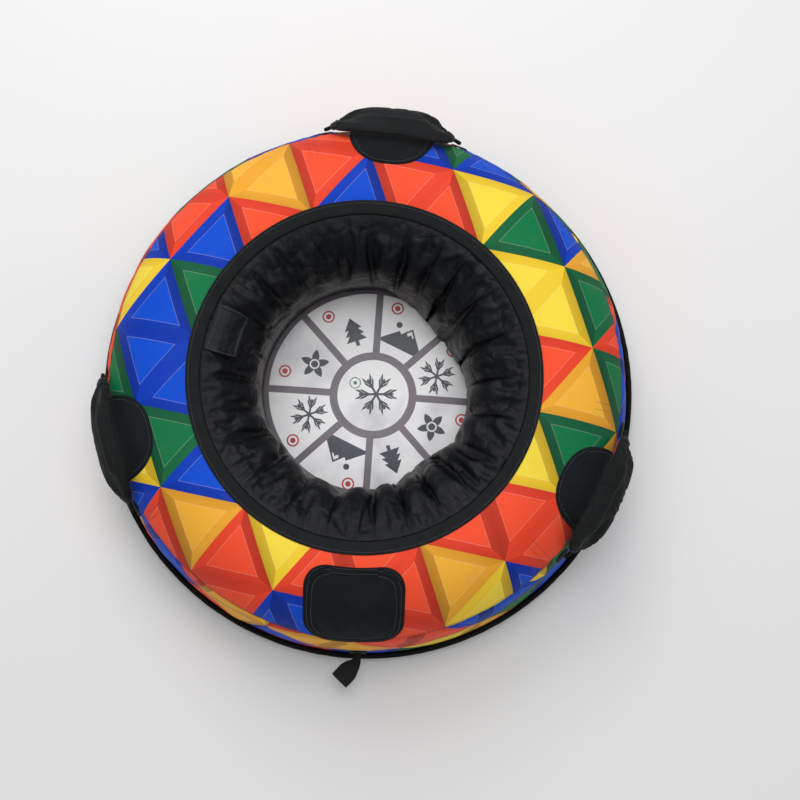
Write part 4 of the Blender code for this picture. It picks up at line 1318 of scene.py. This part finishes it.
def padRelief(edge):
    lip = turnedEdge(edge, pad["lift"], 0.0035, pad["piping"], 0.0019, 0.0011)
    lip -= 0.0016 * bell(edge, pad["border"], 0.0018)
    return lip + (pad["crown"] - 0.0042) * smooth(pad["border"], 0.055, edge)


def buildPad():
    print("front pad")
    spot = seatOn(pad["bearing"], padMiddle())

    def place(u, v):
        x, y = squareCorners(crowd(u, 1.25), crowd(v, 1.25), *pad["half"])
        edge = squareEdge(x, y, *pad["half"])
        height = padRelief(edge) + 0.0009 * rough(x * 16, y * 16, 3.0)
        height += 0.0004 * rough(x * 70, y * 70, 8.0)
        height += 0.0008 * bell(edge, 0.020, 0.008) * rough(x * 120, y * 120, 1.0)
        return spot(x, y, max(height, 0.0004) if edge > 0.0002 else 0.0003)

    cloth = drape("frontPad", pad["cells"], place, pad["size"])
    start = placesOf(cloth)
    held = {index: float(squareEdge(*padLocal(point), *pad["half"]) < pad["border"] + 0.0006)
            for index, point in start.items()}
    settle(cloth, 20, held, grow=0.02, pressure=1.2, stiffness=20.0, bending=1.2, damping=4.0)
    holdNear(cloth, start, 0.004)
    for vertex in cloth.data.vertices:
        off = vertex.co - tubeMiddle(vertex.co)
        if off.length < ring["patchIn"] + pad["clear"] and held[vertex.index] == 0:
            vertex.co += off.normalized() * (ring["patchIn"] + pad["clear"] - off.length)
    cloth.data.update()
    thicken(cloth, pad["thick"])
    soften(cloth)
    finish = wovenCloth("front pad cloth", cloths["pad"], 0.0011, 0.66, 0.01)
    finishAs(cloth, finish, "ring", "pad_cloth", "front_pad", "front_pad_foam")
    return cloth


def padLocal(point):
    bearing = bearingOf(point)
    distance = math.hypot(point.x, point.y)
    angle = math.degrees(math.atan2(point.z - ring["centreZ"], distance - ring["radius"]))
    x = -math.radians((bearing - pad["bearing"] + 180) % 360 - 180) * distance
    return x, math.radians(angle - padMiddle()) * ring["patchIn"]


# The half-round patches behind the grips
guard = {
    "width": 0.154, "depth": 0.106, "power": 0.85, "reach": 0.088, "overSeam": 0.002, "cells": (64, 56),
    "lift": 0.0030, "stitched": 0.0058, "thick": 0.0016, "colour": tone(23, 27, 30),
    "seeds": {"top": 1.0, "left": 2.0, "right": 3.0},
}


def guardSpot(side):
    return seatOn(handles[side]["bearing"], ring["seam"] + math.degrees(guard["overSeam"] / ring["patchIn"]))


def guardOutline(u, v):
    climb = math.radians(87.5 * (v + 1) / 2)
    return (u * guard["width"] / 2 * math.cos(climb) ** guard["power"],
            guard["depth"] * math.sin(climb) ** guard["power"])


def guardEdge(x, y):
    # distance inwards from the patch's curved edge, taken along the way to its middle
    nx, ny = abs(x) / (guard["width"] / 2), max(y, 0) / guard["depth"]
    power = 2 / guard["power"]
    level = (nx**power + ny**power) ** (1 / power)
    return (1 - level) * guard["reach"]


def buildGuard(side):
    spot = guardSpot(side)

    def place(u, v):
        x, y = guardOutline(crowd(u, 1.3), 1 - 2 * (1 - (v + 1) / 2) ** 1.15)
        edge = min(guardEdge(x, y), y + 0.001)
        height = turnedEdge(edge, guard["lift"], 0.0025, guard["stitched"], 0.0011, 0.0012)
        height += 0.0011 * smooth(0.008, 0.03, edge) + 0.0012 * rough(x * 18, y * 18, guard["seeds"][side])
        return spot(x, y, max(height, 0.0003))

    finish = wovenCloth(f"guard cloth {side}", guard["colour"], 0.0011, 0.66, 0.01)
    return clothPiece(f"knuckleGuard_{side}", guard["cells"], place, (guard["width"], guard["depth"]),
                      guard["thick"], finish, "ring", "pad_cloth", f"knuckle_guard_{side}")


# Handles: a padded cover round a strap that is sewn down at both ends
handle = {
    "span": 0.250, "setback": 0.0185, "power": 2.6, "strapAngle": 18.0, "cells": (110, 56), "around": 0.135,
    "halfWidth": 0.030, "halfThickness": 0.0112, "endHalfWidth": 0.0095, "endHalfThickness": 0.0062,
    "taper": {"top": 5.0, "left": 6.5, "right": 3.6}, "crumple": {"top": 1.0, "left": 0.6, "right": 1.7},
    # how much broader a grip is on its inner side, and in a lobe towards its clockwise end
    "inner": {"top": 0.30, "left": 0.0, "right": 0.10}, "lobe": {"top": 0.10, "left": 0.0, "right": 0.26},
    "seeds": {"top": 11.0, "left": 12.0, "right": 13.0}, "colour": tone(24, 26, 27), "reach": 0.0055,
    "strapHalfWidth": 0.0125, "strapHalfThickness": 0.0013, "endWidth": 0.0035, "endThickness": 0.0034,
    "wrapStep": 0.0021, "wrapLine": -0.010, "wrapBow": 0.006, "lump": 0.0012, "crease": 0.0016,
    "anchor": (0.030, 0.026), "anchorLift": 0.0020, "tab": 0.0022, "gap": 0.0004, "stand": 0.004,
}
gripShare = 1 - 2 * handle["setback"] / handle["span"]


def handleFrame(side):
    shape = handles[side]
    tabTop = ring["patchIn"] + handle["tab"] + handle["gap"] + handle["stand"]
    endDistance, endHeight = sectionPoint(tabTop, handle["strapAngle"])
    half = handle["span"] / 2
    along, outward = onRing(shape["bearing"] + 90, 1, 0), onRing(shape["bearing"], 1, 0)
    middle = outward * math.sqrt(endDistance**2 - half**2) + Vector((0, 0, endHeight))
    return middle, along, outward


def handlePlace(side, u):
    shape = handles[side]
    middle, along, outward = handleFrame(side)
    up = Vector((0, 0, 1))
    bulge = math.radians(shape["bulge"])
    power = handle["power"]
    rise = shape["height"] * (1 - abs(u) ** power)
    slope = math.copysign(shape["height"] * power * abs(u) ** (power - 1) / (handle["span"] / 2), u)
    bulgeWay = outward * math.cos(bulge) + up * math.sin(bulge)
    centre = middle + along * (u * handle["span"] / 2) + bulgeWay * rise
    tangent = (along - bulgeWay * slope).normalized()
    face = math.radians(handle["strapAngle"] + (shape["face"] - handle["strapAngle"]) * (1 - abs(u) ** 3))
    thin = outward * math.cos(face) + up * math.sin(face)
    thin = (thin - tangent * thin.dot(tangent)).normalized()
    return centre, tangent.cross(thin), thin


def ovalSpot(side, u, turn, halfWidth, halfThickness, squareness):
    centre, broad, thin = handlePlace(side, u)
    x = bend(math.cos(turn), 2 / squareness)
    y = bend(math.sin(turn), 2 / squareness)
    return centre + broad * (x * halfWidth) + thin * (y * halfThickness)


def handleShare(side, point):
    middle, along, _ = handleFrame(side)
    return (point - middle).dot(along) / (handle["span"] / 2)


def buildHandle(side):
    print("handle", side)
    inner, lobe = handle["inner"][side], handle["lobe"][side]
    full = 0.97

    def place(u, v):
        # v runs once round the section from the broad outer edge over the face that looks outwards
        turn, end = math.pi * (v + 1), abs(math.sin(u * math.pi / 2))
        taper = handle["taper"][side] * (1 + 3 * lobe * (u < 0))
        swell = max(1 - end**taper, 0) ** 0.5 * (1 + lobe * bell(u, -0.42, 0.30))
        width = handle["endHalfWidth"] + (handle["halfWidth"] - handle["endHalfWidth"]) * swell
        thickness = handle["endHalfThickness"] + (handle["halfThickness"] - handle["endHalfThickness"]) * swell
        width *= 1 + inner * max(-math.cos(turn), 0) * (1 - end**6)
        wander = 1 + 0.05 * rough(u * 3.0, math.cos(turn) * 1.2, math.sin(turn) * 1.2 + handle["seeds"][side])
        return ovalSpot(side, gripShare * math.sin(u * math.pi / 2), turn, width * wander * full,
                        thickness * wander * full, 2.25)

    size = (handle["span"] * gripShare * 1.15, handle["around"])
    grip = drape(f"gripCover_{side}", handle["cells"], place, size, True,
                 lambda point: handlePlace(side, handleShare(side, point))[0])
    start, places = placesOf(grip), {}
    for index, point in start.items():
        u = handleShare(side, point)
        centre, broad, thin = handlePlace(side, u)
        off = point - centre
        places[index] = (u, off.dot(broad), off.dot(thin), centre, broad, thin)
    held = {index: smooth(gripShare * 0.965, gripShare * 0.99, abs(spot[0]))
            for index, spot in places.items()}
    settle(grip, 20, held, grow=0.07, pressure=3.0)
    holdNear(grip, start, handle["reach"])
    wrap(grip, side, places)
    soften(grip)
    finish = wovenCloth(f"grip cloth {side}", handle["colour"], 0.0010, 0.60, 0.02)
    finishAs(grip, finish, f"handle_{side}", "pad_cloth", f"grip_cover_{side}", f"grip_foam_{side}")
    strapPiece(side)
    return grip


def wrap(piece, side, places):
    # the cover's outer layer ends in an edge along its face, and creases run off its tapered ends
    seed = 5.0 * handles[side]["bearing"]
    for vertex in piece.data.vertices:
        u, x, y, centre, _, thin = places[vertex.index]
        off = (vertex.co - centre).normalized()
        slant = u * 5.5 + x * 22 + 0.6 * math.sin(u * 9)
        fold = 1 - abs(rough(slant, x * 26, y * 40 + seed)) * 5.5
        swell = rough(u * 3.2, x * 24 + seed, y * 30)
        calm = 1 - 0.8 * smooth(0.80, 0.86, abs(u))
        relief = handle["lump"] * swell - handle["crease"] * max(fold, 0)
        vertex.co += off * (handle["crumple"][side] * calm * relief)
        if y > 0:
            line = handle["wrapLine"] - handle["wrapBow"] * u * u
            over = smooth(line - 0.0006, line + 0.0006, x)
            fade = 1 - smooth(0.55, 0.76, abs(u))
            vertex.co += thin * (handle["wrapStep"] * over * fade * smooth(-0.002, 0.004, y))
    piece.data.update()


def strapPiece(side):
    def place(u, v):
        u = bend(u, 0.8)
        narrow = smooth(0.80, 0.93, abs(u))
        width = handle["strapHalfWidth"] + (handle["endWidth"] - handle["strapHalfWidth"]) * narrow
        thick = handle["strapHalfThickness"] + (handle["endThickness"] - handle["strapHalfThickness"]) * narrow
        turn = math.pi * (v + 1)
        pleat = 1 + 0.08 * narrow * math.cos(5 * turn + handle["seeds"][side])
        pleat += 0.04 * narrow * math.cos(9 * turn)
        end = 1 - smooth(0.985, 1.0, abs(u)) * 0.6
        return ovalSpot(side, u, turn, width * pleat * end, thick * pleat * end, 3.0)

    def closeEnds(form):
        bmesh.ops.holes_fill(form, edges=[edge for edge in form.edges if edge.is_boundary])
        bmesh.ops.recalc_face_normals(form, faces=form.faces)

    strap = drape(f"gripStrap_{side}", (120, 32), place, (handle["span"] * 1.2, 0.055), True, None)
    reshape(strap, closeEnds)
    finishAs(strap, webbing(f"strap webbing {side}"), f"handle_{side}", "webbing", f"handle_strap_{side}")


def anchorBearing(side, turn):
    middle, along, _ = handleFrame(side)
    reach = (middle + along * handle["span"] / 2).xy.length
    return handles[side]["bearing"] + turn * math.degrees(math.asin(handle["span"] / 2 / reach))


def buildAnchors(side):
    made = []
    for letter, turn in (("a", -1), ("b", 1)):
        spot = seatOn(anchorBearing(side, turn), handle["strapAngle"])
        finish = webbing(f"anchor webbing {side} {letter}")
        patch = tabPiece(f"strapAnchor_{side}_{letter}", (30, 26), handle["anchor"], handle["anchorLift"],
                         0.0002, turn, spot, finish, f"strap_anchor_{side}_{letter}")
        made.append((patch, spot))
    return made


# The tow loop: one webbing folded back on itself
tow = {
    "bearing": -92.0, "length": 0.060, "eye": 0.011, "width": 0.036, "rootWidth": 0.013, "webbing": 0.0022,
    "root": 0.0045, "lean": 42.0, "bend": 0.020, "overRim": 0.020, "off": 0.0006, "gap": 0.0004,
    "anchor": (0.034, 0.030), "anchorLift": 0.0026, "cells": (132, 20),
}


def towSeat():
    height, bearing = base["lip"] + tow["overRim"], tow["bearing"]
    distance = bandRadius(height) + tow["off"] + tow["webbing"] + tow["gap"] + tow["root"]
    return onRing(bearing, distance, height), onRing(bearing + 90, 1, 0), onRing(bearing, 1, 0)


def onBand(x, y, lift):
    # a place on the side band, from the middle of the tow anchor
    height = towSeat()[0].z + y
    distance = bandRadius(height) + tow["off"] + lift
    return onRing(tow["bearing"] - math.degrees(x / distance), distance, height)


def towPath(reach):
    lean = math.radians(tow["lean"])
    radius = tow["bend"] / lean
    turn = lean * min(max(reach / tow["bend"], 0), 1)
    straight = min(reach, 0) + max(reach - tow["bend"], 0)
    out = radius * math.sin(turn) + straight * math.cos(turn)
    return out, radius * (1 - math.cos(turn)) + straight * math.sin(turn), turn


def towLine(turn):
    half = tow["webbing"] / 2
    reach = tow["length"] * (0.5 - 0.5 * math.cos(turn))
    eye = tow["eye"] * math.sin(min(reach / tow["length"] * math.pi * 0.62, math.pi)) ** 0.7
    blend = smooth(0.0, 0.12, reach / tow["length"])
    height = math.sin(turn) * max(eye, 0) * blend
    height += math.copysign(tow["root"] - half, math.sin(turn)) * (1 - blend) * min(abs(math.sin(turn)) * 4, 1)
    return Vector((reach - tow["root"] + half, height))


def buildTow():
    print("tow loop")
    root, sideways, outward = towSeat()
    up = Vector((0, 0, 1))
    half = tow["webbing"] / 2

    def place(u, v):
        turn = math.pi * (u + 1)
        spot = towLine(turn)
        along = (towLine(turn + 0.01) - towLine(turn - 0.01)).normalized()
        across = Vector((along.y, -along.x))
        share = max(spot.x, 0) / tow["length"]
        width = tow["rootWidth"] + (tow["width"] - tow["rootWidth"]) * smooth(0, 0.62, share)
        out, aside, lean = towPath(spot.x)
        section = math.pi * (v + 1)
        broad = bend(math.cos(section), 0.35) * width / 2
        thick = bend(math.sin(section), 0.6) * half
        crease = 0.0012 * math.sin(broad / width * 9.0 + turn) * (1 - share)
        crease += 0.0008 * rough(share * 4, broad * 60, math.copysign(2, spot.y))
        centre = root + outward * out - sideways * aside + up * (spot.y + crease)
        forward = outward * math.cos(lean) - sideways * math.sin(lean)
        edge = sideways * math.cos(lean) + outward * math.sin(lean)
        return centre + (forward * across.x + up * across.y) * thick + edge * broad

    loop = drape("towLoop", tow["cells"], place, (tow["length"] * 2.1, 0.080), True, None)
    finishAs(loop, webbing("tow webbing", cloths["towing"], 0.0021), "towing_loop", "webbing", "tow_loop")
    return tabPiece("towAnchor", (34, 30), tow["anchor"], tow["anchorLift"], 0.0, 0.0, onBand,
                    webbing("tow anchor webbing", cloths["towing"], 0.0021), "tow_anchor")


# Where the rows of stitches run, and the thread of each group of pieces, laid once the cloth is in place
def roundLine(distance, height):
    return [onRing(i / 2, distance, height) for i in range(720)]


def seamLine(angle, radius):
    return roundLine(*sectionPoint(radius, angle))


def patchLine(spot, corners, height=0.006):
    return [spot(x, y, height) for x, y in corners]


def stepped(start, end, steps):
    return [(start[0] + (end[0] - start[0]) * i / steps, start[1] + (end[1] - start[1]) * i / steps)
            for i in range(steps + 1)]


def squareLine(halfWidth, halfDepth, corner, inset, steps):
    # a rectangle with round corners, this far inside its edge
    w, d, c = halfWidth - inset, halfDepth - inset, max(corner - inset, 0.0008)
    line = []
    for cx, cy, first in ((w - c, d - c, 0), (c - w, d - c, 90), (c - w, c - d, 180), (w - c, c - d, 270)):
        for i in range(steps // 4 + 1):
            turn = math.radians(first + 90 * i / (steps // 4))
            line.append((cx + c * math.cos(turn), cy + c * math.sin(turn)))
    return line


def guardLine():
    turns = [math.radians(180 * i / 96) for i in range(97)]
    return [((guard["width"] / 2 - guard["stitched"]) * bend(math.cos(turn), guard["power"]),
             (guard["depth"] - guard["stitched"]) * math.sin(turn) ** guard["power"]) for turn in turns]


def coverLines():
    lines = []
    for lift in (0.0032, 0.0090):
        angle = ring["seam"] + math.degrees(lift / ring["coverOut"])
        lines.append((seamLine(angle, ring["coverOut"] + 0.004), True))
    # two rows that hold the webbing tape under the cover on either side of each handle
    for shape in handles.values():
        for turn in (-1, 1):
            for apart in (-0.006, 0.006):
                lines.append(([onCover(shape["bearing"] + turn * 19.0, ring["seam"] + 4 + 30 * i / 23, apart,
                                       ring["coverOut"] + 0.004) for i in range(24)], False))
    return lines


def gripLines(side):
    line = []
    for i in range(60):
        u = gripShare * 0.62 * (2 * i / 59 - 1)
        centre, broad, thin = handlePlace(side, u)
        line.append(centre + broad * (-0.0050 - 0.006 * u * u) + thin * 0.016)
    rounds = [[ovalSpot(side, end * gripShare * 0.955, math.pi * 2 * i / 40, 0.024, 0.014, 2.2)
               for i in range(40)] for end in (-1, 1)]
    return [(line, False), (rounds[0], True), (rounds[1], True)]


def buildThread(top, band, tape, frontPad, guards, grips, anchors, flapCloth, towPatch):
    print("thread")
    dark = threadFinish("dark thread", tone(30, 30, 32))
    grey = threadFinish("grey thread", tone(62, 64, 67))
    threadPiece("coverThread", [(top, coverLines())], dark, "ring")

    angle, lift = mouthLine(mouth["stitchAt"])
    spot = seatOn(pad["bearing"], padMiddle())
    padLines = [(patchLine(spot, squareLine(*pad["half"], inset, 96), 0.009), True)
                for inset in (pad["piping"], pad["border"])]
    rows = [(band, [(seamLine(angle, ring["coverOut"] + lift + 0.003), True)]),
            (tape, [(roundLine(0.504, 0.0360), True)]), (frontPad, padLines)]
    rows += [(patch, [(patchLine(guardSpot(side), guardLine()), False)]) for side, patch in guards.items()]
    box = squareLine(handle["anchor"][0] / 2, handle["anchor"][1] / 2, tab["corner"], 0.0032, 32)
    rows += [(patch, [(patchLine(spot, box), True)]) for made in anchors.values() for patch, spot in made]
    corners = ((-0.0138, -0.0118), (0.0138, -0.0118), (0.0138, 0.0118), (-0.0138, 0.0118))
    spans = ((0, 1), (1, 2), (2, 3), (3, 0), (0, 2), (3, 1))
    crossed = [(patchLine(onBand, stepped(corners[a], corners[b], 11), 0.0054), False) for a, b in spans]
    threadPiece("patchThread", rows + [(towPatch, crossed)], grey, "ring")

    aside, low, high = flap["stitched"]
    corners = ((-aside, low), (-aside, high), (aside, high), (aside, low))
    line = [flapSpot(u, share, 0.004)
            for i in range(4) for u, share in stepped(corners[i], corners[i - 3], 20)]
    threadPiece("flapThread", [(flapCloth, [(line, True)])], grey, "flap")
    for side, grip in grips.items():
        threadPiece(f"gripThread_{side}", [(grip, gripLines(side))], grey, f"handle_{side}")


def dressFrame():
    # the CAD node that stays, inside the cover
    tube = frame["nodes"]["inner_tube"]
    tube.data.materials.clear()
    tube.data.materials.append(rubberFinish("tube rubber", cloths["towing"]).material)


buildStage()
top = buildCover()
band = buildMouth()
tape = buildBinding()
buildBase()
buildSleeve()
buildSeat()
flapCloth = buildFlap()
buildValve()
frontPad = buildPad()
guards = {side: buildGuard(side) for side in handles}
grips = {side: buildHandle(side) for side in handles}
anchors = {side: buildAnchors(side) for side in handles}
buildThread(top, band, tape, frontPad, guards, grips, anchors, flapCloth, buildTow())
dressFrame()

print("done")
